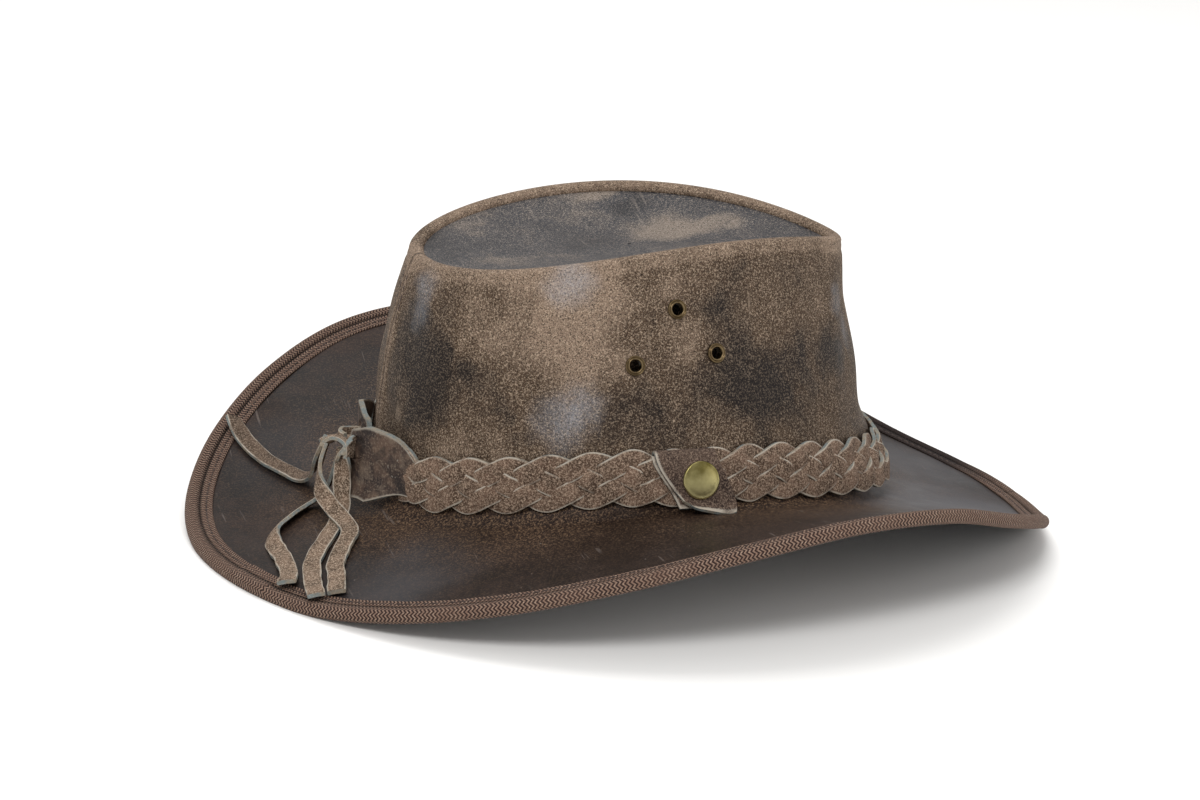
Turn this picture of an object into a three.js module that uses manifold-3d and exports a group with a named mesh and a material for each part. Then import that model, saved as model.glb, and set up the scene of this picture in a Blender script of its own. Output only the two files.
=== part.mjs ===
// A bush hat of pull-up leather, resting on its brim.
// Millimetres, +Z up, +X to the front, the origin on the floor under the middle of the hat.
import * as THREE from 'three';
import Module from 'manifold-3d';
import { mergeVertices } from 'three/addons/utils/BufferGeometryUtils.js';

const wasm = await Module();
wasm.setup();

// Crown
const crownLength = 200;        // outside of its foot, front to back
const crownWidth = 168;         // outside of its foot, side to side
const crownWall = 1.8;          // thickness of the side's leather
const footHeight = 25.5;        // the foot above the floor, mean of sides and ends
const footArch = 8.5;           // how much higher the foot is at the sides, lower at the ends
const crownSetBack = 1.5;       // the crown's middle behind the brim's
const wallBulge = 3;            // how full the wall is at the back, half that at the sides
const crownRise = 96.1;         // the rim above the foot, mean
const rimLength = 172.2;        // outside of the rim, front to back
const rimWidth = 113;           // outside of the rim, side to side
const rimTaper = 0.23;          // how much narrower the rim is to the front, as a share
const rimPitch = 3.2;           // how much higher the rim is at the front
const rimArch = 5.7;            // how much higher the rim is at the sides, lower at the ends
const rimCorner = 1.1;          // how much the rim rises again off the front's middle
const rollWidth = 6;            // the rolled rim, across
const rollHeight = 4.6;         // the rolled rim, up

// Tip of the crown
const tipThickness = 1.6;
const tipDrop = 1.5;            // the tip's edge below the rolled rim
const tipDish = 4;              // the tip's middle below its edge

// Brim
const brimLength = 346;         // over the binding, front to back
const brimWidth = 310;          // over the binding, side to side
const brimThickness = 2;
const brimLift = 49.5;          // the highest place of the brim's edge above the floor
const brimDip = 1;              // how much the brim sags between foot and edge
const collarHeight = 7;         // the brim's inner edge, turned up inside the crown

// Binding of the brim's edge
const tapeWidth = 11;           // on each face of the brim
const tapeThickness = 1.1;
const bulge = 5.6;              // across the round bulge of the edge wire
const restDepth = 0.7;          // how much of the bulge the floor flattens

// Hatband
const bandWidth = 19;
const bandThickness = 4;
const bandLow = 3.6;            // its lower edge above the crown's foot
const bandGap = 0.5;            // between the hatband and the crown
const bandSlack = 4.5;          // how much more it stands off at the front
const scallopLength = 14.3;     // one strand's edge, along the band
const scallopDepth = 1.5;
const tabWidth = 31;            // the uncut ends
const tabThickness = 2;
const tabDroop = 4.2;           // how much lower the tab's end lies than the plait
const tabStandOff = 10;         // how far the tab's end stands off the crown
const tabSpan = 21;             // a tab's length, as degrees round the crown
const tabGap = 3;               // from the middle of the back to a tab's end, in degrees

// Lace
const laceWidth = 6.8;
const laceThickness = 1.3;
const laceHole = 7;             // the hole in a tab
const laceHoleInset = 3.6;      // from a tab's end to its hole, in degrees round the crown
const laceHoleUp = 21.4;        // the hole above the crown's foot
const knotSize = 8.5;

// Keeper over the hatband, and its stud
const keeperAngle = 272;        // the right keeper round the crown, in degrees from the front
const keeperWidth = 23;
const keeperThickness = 1.4;
const keeperFlap = 3;           // how far the flap runs out on the brim
const keeperSpread = 7;         // from the keeper to where the band lies close again, along it
const studDiameter = 14.4;
const studDome = 2.6;
const studPost = 4;
const studUp = 11.2;            // the stud's middle above the crown's foot

// Eyelets
const eyeletDiameter = 7.6;
const eyeletBore = 4.8;
const eyeletWall = 0.4;
const eyeletFlange = 0.6;

// Fit, and the fineness of the rings
const seatGap = 0.3;            // between touching pieces
const around = 64;              // sides of every ring round the hat

// The crown's wall from foot to rim. up is a share of the slant, lean a share of the inward shift,
// and full a share of wallBulge.
const wallRows = [
  { up: 0, lean: 0, full: 0 },
  { up: 0.27, lean: 0.27, full: 0.55 },
  { up: 0.54, lean: 0.54, full: 1 },
  { up: 0.8, lean: 0.8, full: 0.8 },
  { up: 1, lean: 1, full: 0 },
];

// The height of the brim's edge every 15 degrees from the front, as shares of brimLift
const liftStep = 15;
const liftRows = [
  0, 0, 0.08, 0.32, 0.6, 0.82, 0.95, 1, 0.93, 0.69, 0.39, 0.13,
  0.01, 0, 0, 0.12, 0.32, 0.57, 0.8, 0.93, 0.86, 0.61, 0.35, 0.09,
].map((lift) => ({ lift }));

// A tab from its end to the plait. along is a share of tabSpan, off of tabStandOff,
// and wide says how much of the tab's own width is there.
const tabRows = [
  { along: 0, off: 1, wide: 0.94 },
  { along: 0.12, off: 0.93, wide: 1 },
  { along: 0.4, off: 0.6, wide: 1 },
  { along: 0.7, off: 0.2, wide: 0.7 },
  { along: 0.88, off: 0.05, wide: 0.3 },
  { along: 1, off: 0, wide: 0 },
];

// The eyelets of one side. fromSide is in degrees from the side's middle to the front, up a share.
const eyeletRows = [
  { number: 1, fromSide: -11.1, up: 0.575 },
  { number: 2, fromSide: -0.6, up: 0.772 },
  { number: 3, fromSide: 9, up: 0.589 },
];

// The lace's loose ends. Their points are the middle of the lace, and face is the way its flat looks,
// which is up where a row names none.
const laceEnds = {
  lace_end_back: [
    { at: [-120.6, 3.6, 38.6], face: [-1, 0, 0.3] },
    { at: [-121.6, 6.5, 34], face: [-1, 0, 0.5] },
    { at: [-121.7, 12, 28], face: [-0.9, 0, 0.7] },
    { at: [-121.6, 18.5, 20.5], face: [-0.5, 0, 1] },
    { at: [-123.6, 27, 16.2] },
    { at: [-128.4, 37, 16.2] },
    { at: [-134.5, 49.2, 17.5] },
    { at: [-139.8, 64.5, 21.3] },
    { at: [-142, 76.8, 26.2] },
  ],
  lace_end_fold: [
    { at: [-120.9, -4.4, 40.5], face: [-1, 0, 0.3] },
    { at: [-122.8, -5, 35], face: [-1, 0, 0.5] },
    { at: [-124.2, -6.5, 29.5], face: [-1, -0.1, 0.5] },
    { at: [-124.8, -10.5, 24.8], face: [-0.8, -0.3, 0.6] },
    { at: [-122.8, -16.5, 20.6], face: [-0.4, -0.2, 1] },
    { at: [-119.3, -25, 16.6] },
    { at: [-118.4, -36, 15.2] },
    { at: [-123.5, -46.5, 12.6] },
    { at: [-128.4, -57.2, 10.2] },
    { at: [-130.6, -69.1, 9] },
    { at: [-133.4, -81.7, 8.2] },
  ],
  lace_end_long: [
    { at: [-116.2, -11.9, 37.5], face: [0, -1, 0.1] },
    { at: [-116.2, -11.3, 31], face: [0, -1, 0.2] },
    { at: [-116.7, -12.8, 25], face: [-0.1, -0.9, 0.4] },
    { at: [-117.4, -16, 19.2], face: [-0.2, -0.6, 0.8] },
    { at: [-119.6, -21.5, 15.3] },
    { at: [-124, -29, 13.1] },
    { at: [-131, -41, 10.9] },
    { at: [-136, -52, 9] },
    { at: [-139, -66, 7.9] },
    { at: [-141.4, -83, 7.9] },
  ],
  lace_end_loop: [
    { at: [-116, -2, 34.2], face: [-1, 0, 0.2] },
    { at: [-117.3, -1.6, 28.5], face: [-1, 0, 0.3] },
    { at: [-119.6, -0.6, 21], face: [-0.8, 0, 0.6] },
    { at: [-123.2, 0.8, 16], face: [-0.4, 0, 1] },
    { at: [-127.6, 0.6, 13.1] },
    { at: [-132.8, -3, 11.6] },
    { at: [-138.5, -9, 10.1] },
    { at: [-143, -15, 9] },
    { at: [-145.4, -23, 8.6] },
    { at: [-145.5, -33, 7.9] },
    { at: [-145.2, -43, 7.8] },
    { at: [-146, -56.8, 7.4] },
    { at: [-149, -66.9, 7.6] },
  ],
};
const lyingFace = [-0.2, 0, 1];

const radians = THREE.MathUtils.degToRad;
const lerp = THREE.MathUtils.lerp;
const clamp = THREE.MathUtils.clamp;

// Reads a column of a table between its rows, and beyond them along the first or last row.
function readTable(rows, key, column, at) {
  let i = 1;
  while (i < rows.length - 1 && rows[i][key] < at) i += 1;
  const share = (at - rows[i - 1][key]) / (rows[i][key] - rows[i - 1][key]);
  return lerp(rows[i - 1][column], rows[i][column], share);
}

// A closed mesh through rings of equal count. The rings themselves join up, or both ends are closed.
function skin(rings, joined) {
  const count = rings[0].length;
  const positions = rings.flat().flatMap((point) => point.toArray());
  const index = [];
  const steps = joined ? rings.length : rings.length - 1;
  for (let i = 0; i < steps; i += 1) {
    const here = i * count;
    const next = ((i + 1) % rings.length) * count;
    for (let j = 0; j < count; j += 1) {
      const k = (j + 1) % count;
      index.push(here + j, here + k, next + k, here + j, next + k, next + j);
    }
  }
  if (!joined) {
    const last = (rings.length - 1) * count;
    for (let j = 0; j < count / 2 - 1; j += 1) {
      const far = count - 1 - j;
      index.push(j, far, far - 1, j, far - 1, j + 1);
      index.push(last + j, last + far - 1, last + far, last + j, last + j + 1, last + far - 1);
    }
  }
  const geometry = new THREE.BufferGeometry();
  geometry.setAttribute('position', new THREE.Float32BufferAttribute(positions, 3));
  geometry.setIndex(signedVolume(positions, index) < 0 ? index.reverse() : index);
  return geometry;
}

function signedVolume(positions, index) {
  const corner = (i) => new THREE.Vector3().fromArray(positions, 3 * index[i]);
  let volume = 0;
  for (let i = 0; i < index.length; i += 3) {
    volume += corner(i).dot(corner(i + 1).cross(corner(i + 2))) / 6;
  }
  return volume;
}

function toSolid(geometry) {
  const bare = geometry.clone();
  bare.deleteAttribute('normal');
  bare.deleteAttribute('uv');
  const merged = mergeVertices(bare, 1e-3);
  return new wasm.Manifold(new wasm.Mesh({
    numProp: 3,
    vertProperties: new Float32Array(merged.attributes.position.array),
    triVerts: new Uint32Array(merged.index.array),
  }));
}

function cut(geometry, tools) {
  const solid = tools.reduce((left, tool) => left.subtract(toSolid(tool)), toSolid(geometry));
  const mesh = solid.getMesh();
  const result = new THREE.BufferGeometry();
  result.setAttribute('position', new THREE.Float32BufferAttribute(mesh.vertProperties, 3));
  result.setIndex(Array.from(mesh.triVerts));
  return result;
}

// Turns the geometry's +Y along a direction and moves its origin to a point.
function settle(object, point, direction) {
  object.quaternion.setFromUnitVectors(new THREE.Vector3(0, 1, 0), direction);
  object.position.copy(point);
  object.updateMatrix();
  return object;
}

function hole(diameter, length, point, direction) {
  const drill = new THREE.Object3D();
  settle(drill, point, direction);
  return new THREE.CylinderGeometry(diameter / 2, diameter / 2, length, 12).applyMatrix4(drill.matrix);
}

// The crown's foot, rim and wall, all by the angle round the hat from the front, in radians
function footAt(angle) {
  return new THREE.Vector3(
    (crownLength / 2) * Math.cos(angle) - crownSetBack,
    (crownWidth / 2) * Math.sin(angle),
    footHeight - footArch * Math.cos(2 * angle),
  );
}

function rimAt(angle) {
  const drop = rimArch * Math.cos(2 * angle) + rimCorner * Math.cos(3 * angle);
  return new THREE.Vector3(
    (rimLength / 2) * Math.cos(angle) - crownSetBack,
    (rimWidth / 2) * Math.sin(angle) * (1 - rimTaper * Math.cos(angle)),
    footHeight + crownRise + rimPitch * Math.cos(angle) - drop,
  );
}

const slantAt = (angle) => footAt(angle).distanceTo(rimAt(angle));

function wallAt(angle, share) {
  const foot = footAt(angle);
  const rim = rimAt(angle);
  const lean = readTable(wallRows, 'up', 'lean', share);
  const full = readTable(wallRows, 'up', 'full', share) * wallBulge * Math.sin(angle / 2) ** 2;
  return new THREE.Vector3(
    lerp(foot.x, rim.x, lean) + full * Math.cos(angle),
    lerp(foot.y, rim.y, lean) + full * Math.sin(angle),
    lerp(foot.z, rim.z, share),
  );
}

function wallNormal(angle, share) {
  const reach = 0.02;
  const sideways = wallAt(angle + reach, share).sub(wallAt(angle - reach, share));
  const upwards = wallAt(angle, share + reach).sub(wallAt(angle, share - reach));
  return sideways.cross(upwards).normalize();
}

// A point by its height up the slant and its distance off the crown's outer face
function onCrown(angle, up, off) {
  const share = up / slantAt(angle);
  return wallAt(angle, share).addScaledVector(wallNormal(angle, share), off);
}

// The brim's upper face, by the angle and the share of the way from the foot to the edge
function liftAt(angle) {
  const turn = THREE.MathUtils.euclideanModulo(THREE.MathUtils.radToDeg(angle), 360) / liftStep;
  const i = Math.floor(turn);
  const t = turn - i;
  const row = (k) => liftRows[(i + k + liftRows.length) % liftRows.length].lift;
  const slopeIn = (row(1) - row(-1)) / 2;
  const slopeOut = (row(2) - row(0)) / 2;
  const rise = row(1) - row(0);
  const share = row(0) + t * (slopeIn + t * (3 * rise - 2 * slopeIn - slopeOut + t * (slopeIn + slopeOut - 2 * rise)));
  return brimLift * Math.max(share, 0);
}

function edgeAt(angle) {
  return new THREE.Vector3(
    (brimLength / 2) * Math.cos(angle),
    (brimWidth / 2) * Math.sin(angle),
    liftAt(angle) + bulge / 2 - restDepth,
  );
}

function brimAt(angle, share) {
  const point = onCrown(angle, -seatGap, 0).lerp(edgeAt(angle), share);
  point.z -= brimDip * Math.sin(Math.PI * clamp(share, 0, 1));
  return point;
}

function brimNormal(angle, share) {
  const reach = 0.01;
  const sideways = brimAt(angle + reach, share).sub(brimAt(angle - reach, share));
  const outwards = brimAt(angle, share + reach).sub(brimAt(angle, share - reach));
  return outwards.cross(sideways).normalize();
}

const turns = Array.from({ length: around }, (_, i) => (2 * Math.PI * i) / around);

// One solid round the hat from the section at each angle
function roundTheHat(sectionAt) {
  return skin(turns.map(sectionAt), true);
}

function crownSide() {
  const section = (angle) => {
    const slant = slantAt(angle);
    const wallUps = wallRows.map((row) => row.up * slant).filter((up) => up < slant - rollHeight);
    const roll = [0, 45, 90, 135, 180, 225].map((turn) => [
      (rollWidth / 2) * (Math.cos(radians(turn)) - 1),
      slant + (rollHeight / 2) * (Math.sin(radians(turn)) - 1),
    ]);
    return [
      ...wallUps.map((up) => [0, up]),
      ...roll,
      [-crownWall, slant - rollHeight - seatGap],
      ...wallUps.toReversed().map((up) => [-crownWall, up]),
    ].map(([off, up]) => onCrown(angle, up, off));
  };
  const drills = eyelets.map(({ point, normal }) => (
    hole(eyeletBore + 2 * (eyeletWall + seatGap), 4 * crownWall, point, normal)
  ));
  return cut(roundTheHat(section), drills);
}

function crownTip() {
  const edge = turns.map((angle) => (
    onCrown(angle, slantAt(angle) - rollHeight - tipDrop, -crownWall - seatGap)
  ));
  const middle = new THREE.Vector3();
  edge.forEach((point) => middle.addScaledVector(point, 1 / edge.length));
  const ring = (share, drop) => edge.map((point) => {
    const place = middle.clone().lerp(point, share);
    place.z = lerp(middle.z - tipDish, point.z, share ** 2) - drop;
    return place;
  });
  const shares = [0.12, 0.58, 1];
  return skin([
    ...shares.map((share) => ring(share, 0)),
    ...shares.toReversed().map((share) => ring(share, tipThickness)),
  ], false);
}

function brim() {
  const collarOuter = -crownWall - seatGap;
  const collarInner = collarOuter - brimThickness;
  const section = (angle) => {
    const reach = onCrown(angle, 0, 0).distanceTo(edgeAt(angle));
    const shares = [0.05, 0.35, 0.7, 1 - (0.8 * bulge) / reach];
    const upper = shares.map((share) => brimAt(angle, share));
    const lower = shares.map((share) => (
      brimAt(angle, share).addScaledVector(brimNormal(angle, share), -brimThickness)
    ));
    return [
      onCrown(angle, collarHeight, collarInner),
      onCrown(angle, collarHeight, collarOuter),
      onCrown(angle, -seatGap, collarOuter),
      ...upper,
      ...lower.toReversed(),
      onCrown(angle, -seatGap - brimThickness, 0.5 * collarOuter),
      onCrown(angle, -seatGap, collarInner),
    ];
  };
  return roundTheHat(section);
}

function brimBinding() {
  const faceIn = brimThickness / 2 + seatGap;
  const faceOut = faceIn + tapeThickness;
  const bead = [-110, -60, -20, 20, 60, 110].map((turn) => [
    (bulge / 2) * (Math.cos(radians(turn)) - 1),
    (bulge / 2) * Math.sin(radians(turn)),
  ]);
  const profile = [
    [-tapeWidth, -faceIn],
    [-tapeWidth, -faceOut],
    [-1.15 * bulge, -faceOut],
    ...bead,
    [-1.15 * bulge, faceOut],
    [-tapeWidth, faceOut],
    [-tapeWidth, faceIn],
    [seatGap - 0.8 * bulge, faceIn],
    [seatGap - 0.8 * bulge, -faceIn],
  ];
  const section = (angle) => {
    const normal = brimNormal(angle, 1);
    const outwards = brimAt(angle, 1).sub(brimAt(angle, 0.9)).normalize();
    const middle = edgeAt(angle).addScaledVector(normal, -brimThickness / 2);
    return profile.map(([out, off]) => {
      const point = middle.clone().addScaledVector(outwards, out).addScaledVector(normal, off);
      point.z = Math.max(point.z, 0);
      return point;
    });
  };
  return roundTheHat(section);
}

// Where the hatband lies at an angle: its inner face off the crown, its edges up the crown
const bandStart = radians(180 + tabGap);
const bandEnd = radians(540 - tabGap);
const keepers = { right: radians(keeperAngle), left: radians(720 - keeperAngle) };

function keeperNearness(angle) {
  const distances = Object.values(keepers).map((keeper) => (
    onCrown(keeper, studUp, 0).distanceTo(onCrown(angle, studUp, 0))
  ));
  const past = (Math.min(...distances) - 0.75 * keeperWidth) / keeperSpread;
  return 1 - clamp(past, 0, 1);
}

function bandAt(angle) {
  const along = Math.min(angle - bandStart, bandEnd - angle) / radians(tabSpan);
  const share = clamp(along, 0, 1);
  const wide = readTable(tabRows, 'along', 'wide', share);
  const keeperLayer = (keeperThickness + 2 * seatGap - bandGap) * keeperNearness(angle);
  const off = readTable(tabRows, 'along', 'off', share);
  const low = bandLow - tabDroop * off;
  return {
    off: bandGap + keeperLayer + tabStandOff * off + bandSlack * Math.max(Math.cos(angle), 0) ** 3,
    low,
    high: low + lerp(bandWidth, tabWidth, wide) - keeperLayer,
    thick: lerp(bandThickness, tabThickness, Math.min(1, 1.4 * wide)),
  };
}

// Angles between two others, at equal steps along the hatband
function stepsAlongBand(from, to, count) {
  const fine = 720;
  const middle = (i) => onCrown(lerp(from, to, i / fine), bandLow + bandWidth / 2, bandThickness);
  const lengths = [0];
  for (let i = 1; i <= fine; i += 1) lengths.push(lengths[i - 1] + middle(i).distanceTo(middle(i - 1)));
  const total = lengths[fine];
  const angles = [];
  for (let step = 0; step <= count(total); step += 1) {
    const goal = (total * step) / count(total);
    const i = Math.max(1, lengths.findIndex((length) => length >= goal - 1e-9));
    const share = (goal - lengths[i - 1]) / (lengths[i] - lengths[i - 1]);
    angles.push(lerp(from, to, (i - 1 + share) / fine));
  }
  return angles;
}

function hatband() {
  const tabSteps = 7;
  const tabEnd = bandStart + radians(tabSpan);
  const nearTab = Array.from({ length: tabSteps }, (_, i) => lerp(bandStart, tabEnd, i / tabSteps));
  const farTab = nearTab.map((angle) => bandStart + bandEnd - angle).toReversed();
  const plait = stepsAlongBand(tabEnd, bandEnd - radians(tabSpan), (total) => 3 * Math.round(total / scallopLength));
  const section = (angle, dent) => {
    const { off, low, high, thick } = bandAt(angle);
    const edge = 0.22 * (high - low);
    return [
      [off, low + dent + edge / 2],
      [off, high - dent - edge / 2],
      [off + thick / 2, high - dent],
      [off + thick, high - dent - edge],
      [off + thick, low + dent + edge],
      [off + thick / 2, low + dent],
    ].map(([out, up]) => onCrown(angle, up, out));
  };
  const rings = [
    ...nearTab.map((angle) => section(angle, 0)),
    ...plait.map((angle, i) => section(angle, i % 3 === 0 ? scallopDepth : 0)),
    ...farTab.map((angle) => section(angle, 0)),
  ];
  const drills = laceHoles.map(({ point, normal }) => hole(laceHole, 6 * tabThickness, point, normal));
  return cut(skin(rings, false), drills);
}

// The two holes of the tabs, by the middle of the tab's leather
const laceHoles = [bandStart + radians(laceHoleInset), bandEnd - radians(laceHoleInset)].map((angle) => {
  const { off, thick } = bandAt(angle);
  return {
    point: onCrown(angle, laceHoleUp, off + thick / 2),
    normal: wallNormal(angle, laceHoleUp / slantAt(angle)),
  };
});

// A flat strip's section, eight-sided
function stripSection(point, sideways, face, width, thickness) {
  const corner = 0.3 * thickness;
  return [
    [-width / 2, -corner], [corner - width / 2, -thickness / 2], [width / 2 - corner, -thickness / 2],
    [width / 2, -corner], [width / 2, corner], [width / 2 - corner, thickness / 2],
    [corner - width / 2, thickness / 2], [-width / 2, corner],
  ].map(([across, off]) => point.clone().addScaledVector(sideways, across).addScaledVector(face, off));
}

// The lace's loop out through one tab and in through the other, swollen into its knot outside
function laceKnot() {
  const [near, far] = laceHoles.map(({ point }) => point);
  const middle = near.clone().lerp(far, 0.5);
  const reach = near.distanceTo(far) / 2;
  const depth = tabThickness / 2 + laceThickness + seatGap;
  const sideways = new THREE.Vector3(0, 0, 1);
  const rings = Array.from({ length: 24 }, (_, i) => {
    const turn = (2 * Math.PI * i) / 24;
    const out = Math.cos(turn);
    const outwards = new THREE.Vector3(-1, 0, 0);
    const across = new THREE.Vector3(0, 1, 0);
    const swell = clamp(1.6 * (out - 0.35), 0, 1) * clamp(1 - 1.1 * Math.sin(turn), 0, 1);
    const point = middle.clone()
      .addScaledVector(outwards, depth * 1.7 * Math.sign(out) * Math.sqrt(Math.abs(out)))
      .addScaledVector(across, reach * Math.sin(turn))
      .addScaledVector(outwards, (swell * knotSize) / 3);
    const face = outwards.clone().multiplyScalar(out / depth).addScaledVector(across, Math.sin(turn) / reach);
    return stripSection(
      point,
      sideways,
      face.normalize(),
      lerp(laceWidth - 1, knotSize, swell),
      lerp(laceThickness, 0.7 * knotSize, swell),
    );
  });
  return skin(rings, true);
}

function laceEnd(rows) {
  const route = new THREE.CatmullRomCurve3(rows.map((row) => new THREE.Vector3(...row.at)));
  const faces = new THREE.CatmullRomCurve3(rows.map((row) => new THREE.Vector3(...(row.face ?? lyingFace))));
  const steps = 2 * (rows.length - 1);
  const rings = Array.from({ length: steps + 1 }, (_, i) => {
    const forward = route.getTangent(i / steps);
    const sideways = faces.getPoint(i / steps).cross(forward).normalize();
    const face = forward.clone().cross(sideways);
    return stripSection(route.getPoint(i / steps), sideways, face, laceWidth, laceThickness);
  });
  return skin(rings, false);
}

// The keeper's middle line from the flap on the brim over the band and down behind it.
// lean is how far the row lies to the front, wide its width, both as shares of keeperWidth.
function keeper(angle) {
  const back = seatGap + keeperThickness / 2;
  const front = back + bandThickness + keeperThickness + 2 * seatGap;
  const top = bandLow + bandWidth - keeperThickness / 2;
  const rows = [
    { off: front + keeperFlap, up: seatGap - keeperThickness / 2, lean: 0.12, wide: 0.68 },
    { off: front + 0.45 * keeperFlap, up: 0.3 * bandLow, lean: 0.1, wide: 0.86 },
    { off: front + 0.1 * keeperFlap, up: 0.85 * bandLow, lean: 0.08, wide: 0.92 },
    { off: front, up: 1.4 * bandLow, lean: 0.05, wide: 0.95 },
    { off: front, up: top - 3, lean: -0.2, wide: 1 },
    { off: front - 0.9, up: top - 0.7, lean: -0.22, wide: 1 },
    { off: 0.5 * (front + back), up: top + 0.3, lean: -0.22, wide: 1 },
    { off: back + 0.9, up: top - 0.7, lean: -0.22, wide: 1 },
    { off: back, up: top - 3, lean: -0.2, wide: 1 },
    { off: back, up: 0.3 * bandLow, lean: 0.06, wide: 0.95 },
  ];
  const mirror = Math.sin(angle) < 0 ? 1 : -1;
  const perAngle = wallAt(angle + 0.01, 0).distanceTo(wallAt(angle - 0.01, 0)) / 0.02;
  const rings = rows.map((row, i) => {
    const before = rows[Math.max(i - 1, 0)];
    const after = rows[Math.min(i + 1, rows.length - 1)];
    const run = new THREE.Vector2(after.off - before.off, after.up - before.up).normalize();
    const side = (half) => [-1, -0.5, 0, 0.5, 1].map((share) => {
      const along = (mirror * keeperWidth * (row.lean + (share * row.wide) / 2)) / perAngle;
      return onCrown(angle + along, row.up - half * run.x, row.off + half * run.y);
    });
    return [...side(keeperThickness / 2), ...side(-keeperThickness / 2).reverse()];
  });
  const studAt = onCrown(angle, studUp, front);
  const normal = wallNormal(angle, studUp / slantAt(angle));
  return cut(skin(rings, false), [hole(studPost + 2 * seatGap, 2 * keeperThickness, studAt, normal)]);
}

function pressStud() {
  const radius = studDiameter / 2;
  const profile = [
    [0, -keeperThickness], [studPost / 2, -keeperThickness], [studPost / 2, 0], [radius - 0.8, 0], [radius, 0.5],
    [0.97 * radius, 0.35 * studDome], [0.78 * radius, 0.74 * studDome], [0.42 * radius, 0.95 * studDome], [0, studDome],
  ];
  return new THREE.LatheGeometry(profile.map(([x, y]) => new THREE.Vector2(x, y)), 20);
}

function eyelet() {
  const bore = eyeletBore / 2;
  const barrel = bore + eyeletWall;
  const flange = eyeletDiameter / 2;
  const back = -crownWall - seatGap;
  const profile = [
    [bore, back - eyeletFlange], [flange - 0.4, back - eyeletFlange], [flange - 0.4, back], [barrel, back],
    [barrel, seatGap], [flange, seatGap], [flange - 0.4, seatGap + eyeletFlange],
    [lerp(barrel, flange, 0.2), seatGap + 1.4 * eyeletFlange], [bore, seatGap], [bore, back - eyeletFlange],
  ];
  return new THREE.LatheGeometry(profile.map(([x, y]) => new THREE.Vector2(x, y)), 10);
}

const eyelets = ['right', 'left'].flatMap((side) => eyeletRows.map((row) => {
  const angle = radians(side === 'right' ? 270 + row.fromSide : 90 - row.fromSide);
  return {
    name: `eyelet_${side}_${row.number}`,
    point: wallAt(angle, row.up),
    normal: wallNormal(angle, row.up),
  };
}));

// Materials
const crownLeather = new THREE.MeshStandardMaterial({ color: 0x6b5546, roughness: 0.6, metalness: 0 });
const tipLeather = new THREE.MeshStandardMaterial({ color: 0x55463e, roughness: 0.5, metalness: 0 });
const brimLeather = new THREE.MeshStandardMaterial({ color: 0x3a3130, roughness: 0.5, metalness: 0 });
const twillTape = new THREE.MeshStandardMaterial({ color: 0x5a4338, roughness: 0.85, metalness: 0 });
const plaitLeather = new THREE.MeshStandardMaterial({ color: 0x7a6252, roughness: 0.9, metalness: 0 });
const laceLeather = new THREE.MeshStandardMaterial({ color: 0x86705f, roughness: 0.95, metalness: 0 });
const brass = new THREE.MeshStandardMaterial({ color: 0x8c7a42, roughness: 0.35, metalness: 1 });

const hat = new THREE.Group();

function add(name, geometry, material) {
  const mesh = new THREE.Mesh(geometry, material);
  mesh.name = name;
  hat.add(mesh);
  return mesh;
}

add('crown_side', crownSide(), crownLeather);
add('crown_tip', crownTip(), tipLeather);
add('brim', brim(), brimLeather);
add('brim_binding', brimBinding(), twillTape);
add('hatband', hatband(), plaitLeather);
add('lace_knot', laceKnot(), laceLeather);
Object.entries(laceEnds).forEach(([name, rows]) => add(name, laceEnd(rows), laceLeather));
Object.entries(keepers).forEach(([side, angle]) => {
  const off = 2 * keeperThickness + bandThickness + 4 * seatGap;
  add(`keeper_${side}`, keeper(angle), plaitLeather);
  settle(
    add(`press_stud_${side}`, pressStud(), brass),
    onCrown(angle, studUp, off),
    wallNormal(angle, studUp / slantAt(angle)),
  );
});
eyelets.forEach(({ name, point, normal }) => settle(add(name, eyelet(), brass), point, normal));

export default hat;
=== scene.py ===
# The looks of a leather bush hat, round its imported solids.
# Lengths are millimetres in the hat's frame until a mesh is made: +X front, +Y the wearer's left, +Z up.
import math

import bmesh
import bpy
import numpy as np
from mathutils import Matrix, Vector


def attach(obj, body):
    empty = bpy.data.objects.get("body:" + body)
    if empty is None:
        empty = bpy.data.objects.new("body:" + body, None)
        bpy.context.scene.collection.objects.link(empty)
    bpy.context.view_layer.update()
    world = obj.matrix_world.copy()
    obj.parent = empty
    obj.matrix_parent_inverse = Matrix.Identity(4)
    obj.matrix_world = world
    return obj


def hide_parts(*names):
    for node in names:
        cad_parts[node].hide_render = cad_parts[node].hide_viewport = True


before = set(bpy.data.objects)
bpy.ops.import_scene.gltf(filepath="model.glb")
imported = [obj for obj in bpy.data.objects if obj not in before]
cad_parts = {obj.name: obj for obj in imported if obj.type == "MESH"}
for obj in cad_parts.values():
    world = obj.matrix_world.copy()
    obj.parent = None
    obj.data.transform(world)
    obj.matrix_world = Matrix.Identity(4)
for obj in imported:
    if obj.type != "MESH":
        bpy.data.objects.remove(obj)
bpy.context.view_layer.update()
MM = 0.001


def placed(name, data):
    """A new object of the scene."""
    made = bpy.data.objects.new(name, data)
    bpy.context.collection.objects.link(made)
    return made


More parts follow.
